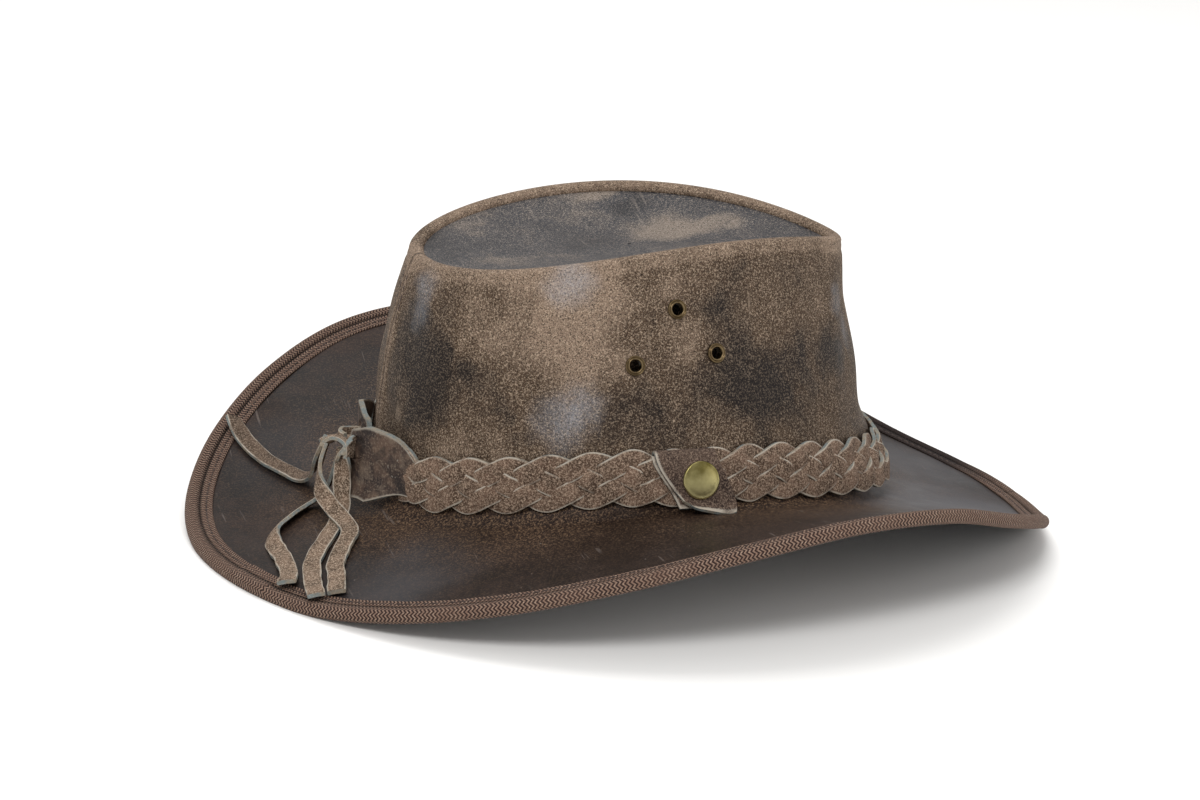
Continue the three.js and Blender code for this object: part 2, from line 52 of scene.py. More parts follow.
# Camera
def add_camera():
    azimuth, elevation, roll = (math.radians(a) for a in (-18, 19, 2.97))
    distance = 1333.3 * MM
    lens_pixels = 3333
    aim_right, aim_up = 19 / lens_pixels, 121.6 / lens_pixels
    away = Vector((
        math.sin(azimuth) * math.cos(elevation),
        -math.cos(azimuth) * math.cos(elevation),
        math.sin(elevation),
    ))
    level = Vector((math.cos(azimuth), math.sin(azimuth), 0))
    upright = away.cross(level)
    right = level * math.cos(roll) + upright * math.sin(roll)
    up = upright * math.cos(roll) - level * math.sin(roll)
    back = (away + right * aim_right - up * aim_up).normalized()
    right = up.cross(back).normalized()
    up = back.cross(right)
    camera = placed("camera", bpy.data.cameras.new("camera"))
    turn = Matrix((right, up, back)).transposed().to_4x4()
    camera.matrix_world = Matrix.Translation(away * distance) @ turn
    camera.data.lens = 100
    camera.data.sensor_width = 36
    bpy.context.scene.camera = camera


add_camera()


# Meshes
def smooth_table(at, keys, values):
    """A smooth curve through the values of a table."""
    keys = np.asarray(keys, float)
    values = np.asarray(values, float)
    slopes = np.gradient(values, keys)
    i = np.clip(np.searchsorted(keys, at, side="right") - 1, 0, len(keys) - 2)
    span = keys[i + 1] - keys[i]
    t = (np.asarray(at, float) - keys[i]) / span
    t = np.clip(t, 0, 1)
    low, high = values[i], values[i + 1]
    start, end = slopes[i] * span, slopes[i + 1] * span
    return (
        low * (1 + 2 * t) * (1 - t) ** 2
        + high * t * t * (3 - 2 * t)
        + start * t * (1 - t) ** 2
        - end * t * t * (1 - t)
    )


def unit(vectors):
    return vectors / np.maximum(np.linalg.norm(vectors, axis=-1, keepdims=True), 1e-9)


def clamp(share):
    return np.clip(share, 0, 1)


def eased(share):
    """From 0 to 1, level at both ends."""
    return share * share * (3 - 2 * share)


def bell(away, width):
    """1 at nought, falling off on both sides."""
    return np.exp(-(away / width) ** 2)


def run_along(points):
    """How far each point of a line is from its start."""
    return np.concatenate([[0], np.cumsum(np.linalg.norm(np.diff(points, axis=0), axis=1))])


def wobble(points, size, seed):
    """A slow, seeded swell over space, from about -1 to 1."""
    waves, swing = 7, 3.2
    source = np.random.RandomState(seed)
    total = np.zeros(points.shape[:-1])
    for _ in range(waves):
        wave = source.normal(size=3)
        wave = wave / np.linalg.norm(wave) * (2 * math.pi / size) * source.uniform(0.6, 1.5)
        total += np.sin(points @ wave + source.uniform(0, 2 * math.pi))
    return total / swing


def grid_faces(rows, columns, close_rows=False, close_columns=False):
    faces = []
    for i in range(rows if close_rows else rows - 1):
        for j in range(columns if close_columns else columns - 1):
            k, m = (i + 1) % rows, (j + 1) % columns
            faces.append((i * columns + j, i * columns + m, k * columns + m, k * columns + j))
    return faces


def mesh_of(name, points, faces, materials=()):
    """A mesh from points in millimetres."""
    mesh = bpy.data.meshes.new(name)
    mesh.from_pydata((np.reshape(points, (-1, 3)) * MM).tolist(), [], faces)
    mesh.update()
    for coat in materials:
        mesh.materials.append(coat)
    return mesh


def add_mesh(name, points, faces, materials, slot, replaces=(), values=None, which=None, sharp=None):
    """A piece, with named values at its points and a material for each face."""
    mesh = mesh_of(name, points, faces, materials)
    for key, numbers in (values or {}).items():
        held = mesh.attributes.new(key, "FLOAT", "POINT").data
        held.foreach_set("value", np.ravel(numbers).astype(np.float32))
    if which is not None:
        mesh.polygons.foreach_set("material_index", np.asarray(which, np.int32))
    mesh.polygons.foreach_set("use_smooth", np.ones(len(faces), bool))
    if sharp:
        mesh.set_sharp_from_angle(angle=math.radians(sharp))
    mesh.update()
    piece = placed(name, mesh)
    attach(piece, "root")
    if replaces:
        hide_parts(*replaces)
    return piece


def face_out(piece):
    """Turns a piece's faces outwards."""
    work = bmesh.new()
    work.from_mesh(piece.data)
    bmesh.ops.recalc_face_normals(work, faces=work.faces)
    work.to_mesh(piece.data)
    work.free()
    return piece


# Shading
class Field:
    """A socket of a material's nodes, with arithmetic. Every other node is made by its node method."""

    def __init__(self, tree, socket=None):
        self.tree = tree
        self.socket = socket

    def node(self, kind, settings, inputs, output=0):
        made = self.tree.nodes.new(kind)
        for key, value in settings.items():
            setattr(made, key, value)
        for key, value in inputs.items():
            if isinstance(value, Field):
                self.tree.links.new(value.socket, made.inputs[key])
            else:
                made.inputs[key].default_value = value
        return Field(self.tree, made.outputs[output])

    def math(self, operation, *others):
        return self.node("ShaderNodeMath", {"operation": operation}, dict(enumerate((self, *others))))

    def vector(self, operation, *others, output=0):
        inputs = dict(enumerate((self, *others)))
        return self.node("ShaderNodeVectorMath", {"operation": operation}, inputs, output)

    def __add__(self, other):
        return self.math("ADD", other)

    def __sub__(self, other):
        return self.math("SUBTRACT", other)

    def __rsub__(self, other):
        return self.node("ShaderNodeMath", {"operation": "SUBTRACT"}, {0: other, 1: self})

    def __mul__(self, other):
        return self.math("MULTIPLY", other)

    __radd__ = __add__
    __rmul__ = __mul__

    def ramp(self, low, high, start=0.0, end=1.0):
        """From start at low to end at high, eased and held beyond."""
        inputs = {"Value": self, "From Min": low, "From Max": high, "To Min": start, "To Max": end}
        return self.node("ShaderNodeMapRange", {"interpolation_type": "SMOOTHSTEP"}, inputs)

    def tint(self, low, high):
        """A colour between two, by this value. One given as text is painted."""
        low, high = (paint(colour) if isinstance(colour, str) else colour for colour in (low, high))
        return self.node("ShaderNodeMix", {"data_type": "RGBA"}, {0: self, 6: low, 7: high}, 2)

    def noise(self, size, detail=3, roughness=0.6, output=0):
        """Noise over this place, with features about size millimetres across."""
        inputs = {"Vector": self, "Scale": 1 / (size * MM), "Detail": detail, "Roughness": roughness}
        return self.node("ShaderNodeTexNoise", {}, inputs, output)

    def stretch(self, scale, turn):
        return self.node("ShaderNodeMapping", {}, {"Vector": self, "Rotation": turn, "Scale": scale})


def paint(hexa, share=0.66):
    """A linear colour from the screen colour that it should have under this light, which is a bright one."""
    parts = [int(hexa[i:i + 2], 16) / 255 for i in (0, 2, 4)]
    return (*[share * (c / 12.92 if c <= 0.04045 else ((c + 0.055) / 1.055) ** 2.4) for c in parts], 1)


def material(name, build):
    """A material whose build gives the shader's inputs from a field of places."""
    made = bpy.data.materials.new(name)
    made.use_nodes = True
    tree = made.node_tree
    shader = tree.nodes["Principled BSDF"]
    place = Field(tree).node("ShaderNodeTexCoord", {}, {}, "Object")
    for key, value in build(place).items():
        if isinstance(value, Field):
            tree.links.new(value.socket, shader.inputs[key])
        else:
            shader.inputs[key].default_value = value
    return made


def value_of(place, name):
    return place.node("ShaderNodeAttribute", {"attribute_name": name}, {}, "Fac")


def finish(colour, roughness, height, depth, specular=0.5, metallic=0.0):
    """The shader's inputs, where a height of 0 to 1 stands for depth millimetres."""
    bump = height.node("ShaderNodeBump", {}, {"Height": height, "Distance": depth * MM, "Strength": 1.0})
    return {
        "Base Color": colour, "Roughness": roughness, "Normal": bump,
        "Specular IOR Level": specular, "Metallic": metallic,
    }


def blot(place, centre, size):
    """A soft round patch, 1 at its centre."""
    away = place.vector("DISTANCE", [c * MM for c in centre], output="Value")
    return away.ramp(0.0, size * MM, 1.0, 0.0)


def warp(place, size, reach):
    """The place, moved about by noise by up to about reach millimetres."""
    drift = place.noise(size, output=1).vector("SUBTRACT", (0.5, 0.5, 0.5))
    return drift.vector("MULTIPLY_ADD", (reach * MM * 3,) * 3, place)


def patch_sum(place, rows):
    """The sum of soft patches, from rows of a centre, a size and an amount at the centre."""
    total = None
    for x, y, z, size, amount in rows:
        patch = blot(place, (x, y, z), size) * amount
        total = patch if total is None else total + patch
    return total


def scratches(place, size, turn, reach=0.66):
    """Fine pale scratches in one direction, in broken groups."""
    lines = place.stretch((1, 0.05, 0.05), turn).noise(size, 2, 0.5).ramp(reach, reach + 0.05)
    return lines * place.noise(25, 2).ramp(0.5, 0.62)


# Soft patches of paler or darker colour, one row of them painted shade along a crease: a centre, how far it
# reaches, and how much paler or darker it is
CROWN_PATCHES = [
    (-45, -56, 116, 34, 0.24), (-42, -61, 103, 34, 0.24), (-37, -65, 92, 30, 0.2), (-62, -54, 95, 26, 0.1),
    (2, -68, 91, 24, 0.16), (-69, -43, 113, 16, 0.14), (24, -73, 58, 22, 0.14), (62, -42, 98, 16, 0.06),
    (-92, -21, 78, 30, -0.26), (-89, -30, 66, 27, -0.22), (-76, -50, 66, 24, -0.05), (26, -68, 74, 34, -0.36),
    (54, -54, 76, 36, -0.28), (15, -61, 106, 15, -0.16), (-4, -77, 60, 17, -0.12), (-18, -74, 69, 16, -0.14),
    (-80, -36, 105, 12, -0.08), (80, -30, 88, 24, -0.06), (88, 2, 96, 26, 0.2), (0, 62, 100, 40, 0.25),
    (-74, -45, 97, 20, 0.24), (6, -67, 96, 20, 0.1), (40, -56, 100, 24, 0.1), (-64, -62, 52, 14, 0.12),
    (-21, -61, 115, 17, 0.16), (2, -60, 115, 17, 0.18), (-17, -72, 80, 15, 0.16), (-81, -46, 50, 20, 0.18),
    # This row is painted shade: small dark patches in a line down a soft crease that the wall's shape doesn't
    # have
    (-84, -35, 87, 9, -0.16), (-77, -46, 77, 9, -0.26), (-69, -55, 66, 9, -0.3), (-62, -62, 57, 9, -0.3),
    (-87, 0, 113, 17, 0.34), (75, -21, 119, 20, 0.42), (-92, -12, 90, 18, -0.12),
    (-60, 50, 90, 36, -0.22), (50, 50, 70, 36, -0.25), (-15, 72, 60, 30, -0.2), (-96, 20, 60, 30, 0.15),
]
# Painted sheen: spots where a pale blue-grey reflection is painted into the crown's colour, each a centre,
# how far it reaches and how strong it is
CROWN_PAINTED_SHEEN = [
    (-42, -57, 116, 14, 1), (-46, -69, 65, 16, 1), (-39, -70, 72, 12, 0.7), (-30, 66, 90, 20, 0.45),
    (-87, -18, 105, 11, 0.8), (-90, -20, 95, 9, 0.6), (75, -29, 97, 9, 0.6), (80, -27, 84, 9, 0.5),
]
TIP_PATCHES = [
    (22, 15, 113, 24, 0.42), (6, 12, 112, 16, 0.2), (44, 17, 114, 18, 0.34), (0, 57, 121, 22, 0.44),
    (-50, 34, 111, 22, 0.12), (-62, -6, 110, 16, 0.26), (-62, 30, 110, 14, 0.08), (55, -8, 113, 20, 0.2),
    (-20, 10, 111, 28, -0.14), (14, 42, 118, 18, -0.22),
]


def aged_look(place, patches, colours, extra=0.0):
    """
    Colour, tone and height of waxed nubuck, from dark where the wax is to pale and speckled where it is worn.
    The patches and the extra tone given to it add painted shade and painted highlights as well.
    Its colours go from dark to pale.
    """
    deep, dark, middle, pale, dust = colours
    moved = warp(place, 26, 9)
    clouds = moved.noise(34, 4, 0.6)
    folds = moved.stretch((1, 1, 0.45), (0.35, 0.25, 0)).noise(17, 4, 0.6)
    grain = place.noise(0.72, 3, 0.9)
    pores = place.noise(0.5, 2, 0.9)
    tone = (clouds * 0.8 + folds * 0.6 - 0.2) + patch_sum(moved, patches) + extra
    body = tone.ramp(0.2, 0.56).tint(dark, middle)
    body = tone.ramp(0.52, 0.92).tint(body, pale)
    body = (grain.ramp(0.51, 0.58) * tone.ramp(0.08, 0.75, 0.24, 0.84)).tint(body, dust)
    body = (pores.ramp(0.48, 0.41) * 0.85).tint(body, deep)
    marks = scratches(place, 2.2, (0.3, 0.2, 0.7)) + scratches(place, 2.0, (1.2, 0.1, -0.4))
    flecks = place.noise(1.5, 1, 0.5).ramp(0.74, 0.79) * place.noise(40, 2).ramp(0.5, 0.6)
    body = (marks * 0.22 + flecks * 0.6).tint(body, dust)
    height = grain * 0.8 + pores * 0.6
    return body, tone, height


def crown_build(place):
    # Paler along the rolled rim and the seam's ridge: wear on both, and along the rim also a painted
    # highlight
    rubbed_and_highlit = value_of(place, "rim") * 0.26 + value_of(place, "ridge") * 0.24
    colours = "1b1311", "1e1614", "5a4839", "9c8572", "d2baa1"
    body, tone, height = aged_look(place, CROWN_PATCHES, colours, rubbed_and_highlit)
    # Painted sheen: a pale blue-grey reflection painted into the colour at those spots, where the leather is
    # also made a little less rough
    painted_sheen = patch_sum(warp(place, 12, 5), CROWN_PAINTED_SHEEN) * place.noise(1.0, 3, 0.9).ramp(0.3, 0.65, 0.3, 1)
    body = (painted_sheen * 0.33).tint(body, paint("b4bac4", 0.9))
    body = (value_of(place, "seam") * 0.8).tint(body, "2a201f")
    return finish(body, tone.ramp(0.1, 0.6, 0.45, 0.75) - painted_sheen * 0.12, height, 0.16, 0.13)


def tip_build(place):
    # The blue-grey of the darker tones is painted reflection: a broad sheen on the dark leather put into its
    # colour
    colours = "141419", "1f2026", "424348", "998b7e", "b8aa9d"
    body, tone, height = aged_look(place, TIP_PATCHES, colours)
    return finish(body, tone.ramp(0.3, 0.9, 0.4, 0.66), height, 0.07, 0.16)


# Painted sheen: broad patches where a blue-grey reflection is painted into the brim's colour
BRIM_PAINTED_SHEEN = [
    (133, -30, 11, 50, 0.75), (100, -56, 20, 44, 0.5), (140, 30, 12, 50, 0.5), (-119, 50, 18, 40, 0.15),
    (-114, -86, 12, 42, 0.35),
]
BRIM_DARK_PATCHES = [(-30, -108, 22, 60, 0.8), (20, -110, 28, 50, 0.6)]


def brim_build(place):
    moved = warp(place, 40, 15)
    patches = moved.noise(50, 4, 0.55)
    clouds = place.noise(11, 4, 0.6)
    grain = place.noise(0.85, 3, 0.9)
    body = (patches * 0.6 + clouds * 0.4).ramp(0.38, 0.64).tint("1e1817", "3b2e29")
    warm = value_of(place, "inner").ramp(0.3, 0.95) * patches.ramp(0.3, 0.6, 0.4, 1.0)
    body = (warm * 0.6).tint(body, "433025")
    body = (grain.ramp(0.5, 0.62) * (warm * 0.7 + 0.18)).tint(body, "9a7d62")
    body = (grain.ramp(0.48, 0.4) * (warm * 0.6 + 0.25)).tint(body, "161110")
    # Painted sheen: the brim's colour is tinted to blue-grey in those patches
    body = patch_sum(moved, BRIM_PAINTED_SHEEN).tint(body, "68686c")
    body = (patch_sum(moved, BRIM_DARK_PATCHES) * grain.ramp(0.4, 0.66, 0.9, 0.3)).tint(body, "271b15")
    marks = scratches(place, 1.6, (0.1, 0.2, 0.5)) + scratches(place, 1.8, (0.2, 0.1, -0.9))
    flecks = place.noise(1.8, 1, 0.5).ramp(0.76, 0.8) * place.noise(30, 2).ramp(0.48, 0.56)
    body = (marks * 0.3 + flecks * 0.6).tint(body, "9d9088")
    roughness = patches.ramp(0.35, 0.65, 0.36, 0.52) + grain * 0.1
    return finish(body, roughness, grain * 0.6 + clouds * 0.9 - marks * 0.4, 0.1, 0.15)


def suede_build(dark, middle, pale, rim_from=0.86):
    def build(place):
        clouds = place.noise(7)
        grain = place.noise(0.7, 3, 0.85)
        specks = place.noise(0.45, 2, 0.85)
        body = clouds.ramp(0.35, 0.65).tint(dark, middle)
        body = grain.ramp(0.46, 0.6).tint(body, pale)
        body = (specks.ramp(0.5, 0.38) * 0.85).tint(body, dark)
        rim = (value_of(place, "across") + grain * 0.12).ramp(rim_from, 1.02)
        worn = place.noise(8, 2).ramp(0.38, 0.58, 0.3, 0.95)
        body = (rim * worn).tint(body, "cdc2b2")
        return finish(body, 0.92, grain * 0.7 + specks * 0.6, 0.25, 0.25)
    return build


def cut_edge_build(place):
    grain = place.noise(0.8, 3, 0.8)
    body = place.noise(5).ramp(0.4, 0.62).tint("8b9493", "a89a86")
    body = (grain.ramp(0.5, 0.7) * 0.6).tint(body, "c3bfb4")
    body = (grain.ramp(0.45, 0.3) * 0.5).tint(body, "5b544c")
    return finish(body, 0.95, grain, 0.3, 0.2)


TAPE_PATCHES = [(110, 100, 20, 90, 1.6), (160, 50, 10, 55, 1.5)]


def tape_build(place):
    rib_spacing, herring_width = 1.6, 1.15
    grain = place.noise(0.5, 3, 0.8)
    slope = value_of(place, "along") + value_of(place, "across").math("PINGPONG", herring_width)
    weave = (slope * (2 * math.pi / rib_spacing)).math("SINE") * 0.5 + 0.5
    body = weave.ramp(0.2, 0.85).tint("32211b", "8d6f5e")
    body = (place.noise(30).ramp(0.4, 0.65) * 0.3).tint(body, "6f5547")
    body = (grain.ramp(0.5, 0.62) * weave.ramp(0.5, 0.95) * 0.8).tint(body, "d0b8a2")
    body = (patch_sum(place, TAPE_PATCHES) * 0.7).tint(body, "2b1d18")
    return finish(body, 0.85, weave + grain * 0.3, 0.22, 0.3)


def tab_build(place):
    grain = place.noise(0.9, 3, 0.8)
    body = place.noise(8).ramp(0.36, 0.64).tint("352926", "6b5547")
    body = (grain.ramp(0.5, 0.66) * 0.6).tint(body, "9d8a76")
    creases = place.stretch((1, 0.5, 0.7), (0.6, 0.2, 0.3)).noise(6)
    # Painted shade in the creases' hollows and painted light on their ridges, over the creases' bump
    body = (creases.ramp(0.47, 0.38) * 0.6).tint(body, "221a18")
    body = (creases.ramp(0.55, 0.66) * 0.4).tint(body, "8d7b6a")
    flecks = place.noise(1.6, 1, 0.5).ramp(0.74, 0.8)
    body = (flecks * 0.5).tint(body, "b9b1a6")
    rim = (value_of(place, "across") + grain * 0.06).ramp(0.94, 1.01)
    body = (rim * 0.85).tint(body, "b5ab9c")
    return finish(body, 0.72, grain * 0.15 + creases, 0.8, 0.35)


def brass_build(dark, pale, share=0.9):
    def build(place):
        painted_shade_above, painted_highlight_below = 52 * MM, 40 * MM
        spots = place.noise(5)
        height = place.node("ShaderNodeSeparateXYZ", {}, {0: place}, "Z")
        # Worn mixes real wear spots with painted light: a painted highlight over the low part of each stud
        # and painted shade over its high part
        worn = spots.ramp(0.3, 0.75) * 0.25 + height.ramp(painted_shade_above, painted_highlight_below) * 0.8
        body = worn.tint(paint(dark, 0.9), paint(pale, share))
        return finish(body, spots.ramp(0.35, 0.65, 0.3, 0.38), place.noise(0.6, 2), 0.015, metallic=1.0)
    return build


def thread_build(place):
    twist = place.stretch((1, 1, 1), (0.6, 0.3, 0.5)).noise(0.4, 1)
    return finish(twist.ramp(0.35, 0.65).tint("33251f", "5a4438"), 0.7, twist, 0.1)


def floor_build(place):
    body = place.noise(220, 2).tint(paint("f6f5f3", 1.0), paint("faf9f7", 1.0))
    return {"Base Color": body, "Roughness": 0.7, "Specular IOR Level": 0.1}


crown_leather = material("crown_leather", crown_build)
tip_leather = material("tip_leather", tip_build)
brim_leather = material("brim_leather", brim_build)
strand_suede = material("strand_suede", suede_build("4a382c", "816655", "c2a891"))
lace_suede = material("lace_suede", suede_build("544335", "8c7360", "d2baa2"))
# A darker copy of the lace's suede: painted shade for the lace's back end, which lies in shadow
shaded_suede = material("shaded_suede", suede_build("43352a", "6e5949", "a6917e"))
keeper_suede = material("keeper_suede", suede_build("352824", "5d4a3f", "978170", 0.94))
cut_edge = material("cut_edge", cut_edge_build)
twill_tape = material("twill_tape", tape_build)
tab_leather = material("tab_leather", tab_build)
brass = material("antique_brass", brass_build("665c31", "d6cb93", 0.95))
old_brass = material("old_brass", brass_build("5d4d37", "b8a37c"))
thread = material("thread", thread_build)


# Strips of leather
def strip(path, looks, width, thickness, seed, crown=0.0, wave=0.05):
    """A flat strip along a path, its flat turned to where it looks. Its cut edges are of material 1."""
    forward = unit(np.gradient(path, axis=0))
    sideways = unit(np.cross(looks, forward))
    up = np.cross(forward, sideways)
    left = width / 2 * (1 + wave * wobble(path, 9, seed))
    right = width / 2 * (1 + wave * wobble(path, 8, seed + 50))
    spread = np.array([-1, -0.86, -0.5, 0, 0.5, 0.86, 1])
    edge_drop = 0.12 * thickness
    rows = []
    for side in (1, -1):
        for share in spread * side:
            out = share * np.where(share < 0, left, right)
            lift = side * thickness / 2 + crown * (1 - share ** 2) - crown / 2
            if abs(share) == 1:
                lift = lift - side * edge_drop
            rows.append(path + sideways * out[:, None] + up * lift)
    points = np.stack(rows, axis=1)
    count, columns = points.shape[:2]
    faces = grid_faces(count, columns, close_columns=True)
    edge_columns = {len(spread) - 1, columns - 1}
    which = [int(index % columns in edge_columns) for index in range(len(faces))]
    for row in (0, count - 1):
        ring = [row * columns + j for j in range(columns)]
        faces.append(tuple(ring if row else ring[::-1]))
        which.append(1)
    return points, faces, which, np.tile(np.abs(np.concatenate([spread, -spread])), (count, 1))


def join(parts):
    """One set of points and faces from several."""
    points, faces, start = [], [], 0
    for part_points, part_faces in parts:
        flat = np.reshape(part_points, (-1, 3))
        points.append(flat)
        faces.extend(tuple(start + i for i in face) for face in part_faces)
        start += len(flat)
    return np.concatenate(points), faces


def add_strips(name, strips, suede, slot, replaces, sharp):
    """One piece of several strips."""
    points, faces = join([part[:2] for part in strips])
    which = [kind for part in strips for kind in part[2]]
    values = {"across": np.concatenate([np.ravel(part[3]) for part in strips])}
    return add_mesh(name, points, faces, [suede, cut_edge], slot, replaces, values, which, sharp)


def curve_through(route, count):
    """Points of a smooth curve through a route, evenly counted between its points."""
    route = np.asarray(route, float)
    steps = np.linalg.norm(np.diff(route, axis=0), axis=1) ** 0.5
    keys = np.concatenate([[0], np.cumsum(steps)])
    at = np.linspace(0, keys[-1], count)
    return np.stack([smooth_table(at, keys, column) for column in route.T], axis=1)


# The lace's loose ends: points of the route, with the way its flat looks where it isn't lying
LYING = (-0.2, 0, 1)
lace_routes = {
    "lace_end_back": [
        (-120.6, 3.6, 38.6, (-0.9, 0.3, 0.4)), (-121.6, 6.5, 34, (-0.9, 0.3, 0.4)),
        (-121.7, 12, 28, (-0.9, 0.2, 0.4)), (-121.6, 18.5, 20.5, (-0.6, 0.2, 0.8)), (-123.6, 27, 16.2),
        (-128.4, 37, 16.2), (-134.5, 49.2, 17.5), (-139.8, 64.5, 21.3, (0, -0.4, 1)),
        (-142, 76.8, 26.2, (0.5, -0.8, 0.6)),
    ],
    "lace_end_fold": [
        (-120.9, -4.4, 40.5, (-0.9, 0.38, 0.25)), (-122.8, -5, 35, (-0.9, 0.37, 0.2)),
        (-124.2, -6.5, 29.5, (-0.9, 0.1, 0.2)), (-124.8, -10.5, 24.8, (-0.6, -0.5, 0.6)),
        (-122.8, -16.5, 20.6, (-0.4, -0.4, 1)), (-119.3, -25, 16.6), (-118.4, -36, 15.2),
        (-123.5, -46.5, 12.6), (-128.4, -57.2, 10.2), (-130.6, -69.1, 9), (-133.4, -81.7, 8.2),
    ],
    "lace_end_long": [
        (-116.2, -11.9, 37.5, (-0.85, -0.3, 0.1)), (-116.2, -11.3, 31, (-0.4, -0.9, 0.2)),
        (-116.7, -12.8, 25, (-0.1, -0.9, 0.4)), (-117.4, -16, 19.2, (-0.2, -0.6, 0.8)),
        (-119.6, -21.5, 15.3), (-124, -29, 13.1), (-131, -41, 10.9), (-136, -52, 9), (-139, -66, 7.9),
        (-141.4, -83, 7.9),
    ],
    "lace_end_loop": [
        (-116, -2, 34.2, (-0.9, 0.38, 0.23)), (-117.3, -1.6, 28.5, (-0.88, 0.39, 0.28)),
        (-119.6, -0.6, 21, (-0.79, 0.42, 0.45)), (-123.2, 0.8, 16, (-0.6, 0.44, 0.67)),
        (-127.6, 0.6, 13.1, (-0.51, 0.43, 0.74)), (-132.8, -3, 11.6, (-0.58, 0.44, 0.69)),
        (-138.5, -9, 10.1, (-0.67, 0.44, 0.6)), (-143, -15, 9, (-0.75, 0.3, 0.6)),
        (-145.4, -23, 8.6, (-0.5, 0, 0.9)), (-145.5, -33, 7.9), (-145.2, -43, 7.8), (-146, -56.8, 7.4),
        (-149, -66.9, 7.6),
    ],
}
LACE_WIDTH = 6.8
LACE_THICKNESS = 1.6


def add_lace_end(name, route, seed):
    points_between = 12
    count = points_between * len(route)
    path = curve_through([row[:3] for row in route], count)
    at, keys = np.linspace(0, 1, count), np.linspace(0, 1, len(route))
    ways = [row[3] if len(row) > 3 else LYING for row in route]
    looks = np.stack([np.interp(at, keys, column) for column in zip(*ways)], axis=1)
    # The back end takes the copy with painted shade
    suede = shaded_suede if name == "lace_end_back" else lace_suede
    flat = strip(path, looks, LACE_WIDTH, LACE_THICKNESS, seed, crown=0.2)
    lace = add_strips(name + "_lace", [flat], suede, "lace_leather", [name], 40)


for seed, (name, route) in enumerate(lace_routes.items(), 3):
    add_lace_end(name, route, seed)


# The hat's surfaces, by the angle round it from the front, as its solids have them
CROWN_LENGTH, CROWN_WIDTH, CROWN_WALL = 200, 168, 1.8
FOOT_HEIGHT, FOOT_ARCH, SET_BACK = 25.5, 8.5, 1.5
WALL_BULGE, CROWN_RISE = 3, 96.1
RIM_LENGTH, RIM_WIDTH, RIM_TAPER = 172.2, 113, 0.23
RIM_PITCH, RIM_ARCH, RIM_CORNER = 3.2, 5.7, 1.1
ROLL_WIDTH, ROLL_HEIGHT = 6, 4.6
TIP_DROP, TIP_DISH, TIP_SEAM = 1.5, 4, 3.6
BRIM_LENGTH, BRIM_WIDTH, BRIM_THICKNESS = 346, 310, 2
BRIM_LIFT, BRIM_DIP = 49.5, 1
COLLAR = 7
TAPE_WIDTH = 11
BULGE, REST = 5.6, 0.7
BAND_WIDTH, BAND_THICKNESS, BAND_LOW, BAND_GAP, BAND_SLACK = 19, 4, 3.6, 0.5, 4.5
TAB_WIDTH, TAB_THICKNESS, TAB_DROOP, TAB_STAND_OFF, TAB_SPAN, TAB_GAP = 31, 2, 4.2, 10, 21, 3
LACE_HOLE_INSET, LACE_HOLE_UP = 3.6, 21.4
KEEPER_ANGLE, KEEPER_WIDTH, KEEPER_THICKNESS, KEEPER_FLAP, KEEPER_SPREAD = 272, 23, 1.4, 3, 7
STUD_DIAMETER, STUD_UP = 14.4, 11.2
EYELET_DIAMETER, EYELET_BORE = 7.6, 4.8
SEAT_GAP = 0.3
BACK_SEAM = math.pi
NEAR_AXIS = 0.001
LIFTS = np.array([
    0, 0, 0.08, 0.32, 0.6, 0.82, 0.95, 1, 0.93, 0.69, 0.39, 0.13,
    0.01, 0, 0, 0.12, 0.32, 0.57, 0.8, 0.93, 0.86, 0.61, 0.35, 0.09,
])


def spot(x, y, z):
    return np.stack(np.broadcast_arrays(x, y, z), axis=-1).astype(float)


def foot_at(angle):
    return spot(
        CROWN_LENGTH / 2 * np.cos(angle) - SET_BACK,
        CROWN_WIDTH / 2 * np.sin(angle),
        FOOT_HEIGHT - FOOT_ARCH * np.cos(2 * angle),
    )


def rim_at(angle):
    drop = RIM_ARCH * np.cos(2 * angle) + RIM_CORNER * np.cos(3 * angle)
    return spot(
        RIM_LENGTH / 2 * np.cos(angle) - SET_BACK,
        RIM_WIDTH / 2 * np.sin(angle) * (1 - RIM_TAPER * np.cos(angle)),
        FOOT_HEIGHT + CROWN_RISE + RIM_PITCH * np.cos(angle) - drop,
    )


def slant_at(angle):
    return np.linalg.norm(rim_at(angle) - foot_at(angle), axis=-1)


def wall_at(angle, share):
    angle, share = np.broadcast_arrays(angle, share)
    foot, rim = foot_at(angle), rim_at(angle)
    bulge = smooth_table(share, [0, 0.27, 0.54, 0.8, 1], [0, 0.55, 1, 0.8, 0]) * WALL_BULGE
    full = bulge * np.sin(angle / 2) ** 2
    place = foot + (rim - foot) * share[..., None]
    place[..., 0] += full * np.cos(angle)
    place[..., 1] += full * np.sin(angle)
    return place


def slopes(surface, angle, share, reach):
    """How a surface runs round the hat, and away from its foot."""
    around = surface(angle + reach, share) - surface(angle - reach, share)
    return around, surface(angle, share + reach) - surface(angle, share - reach)


def wall_normal(angle, share):
    around, upwards = slopes(wall_at, angle, share, 0.02)
    return unit(np.cross(around, upwards))


def on_crown(angle, up, off):
    """A point by its angle round the crown, how far up the wall it is, and how far off it."""
    angle, up, off = np.broadcast_arrays(angle, up, off)
    share = up / slant_at(angle)
    inside = clamp(share)
    place = wall_at(angle, inside) + (rim_at(angle) - foot_at(angle)) * (share - inside)[..., None]
    return place + wall_normal(angle, inside) * off[..., None]


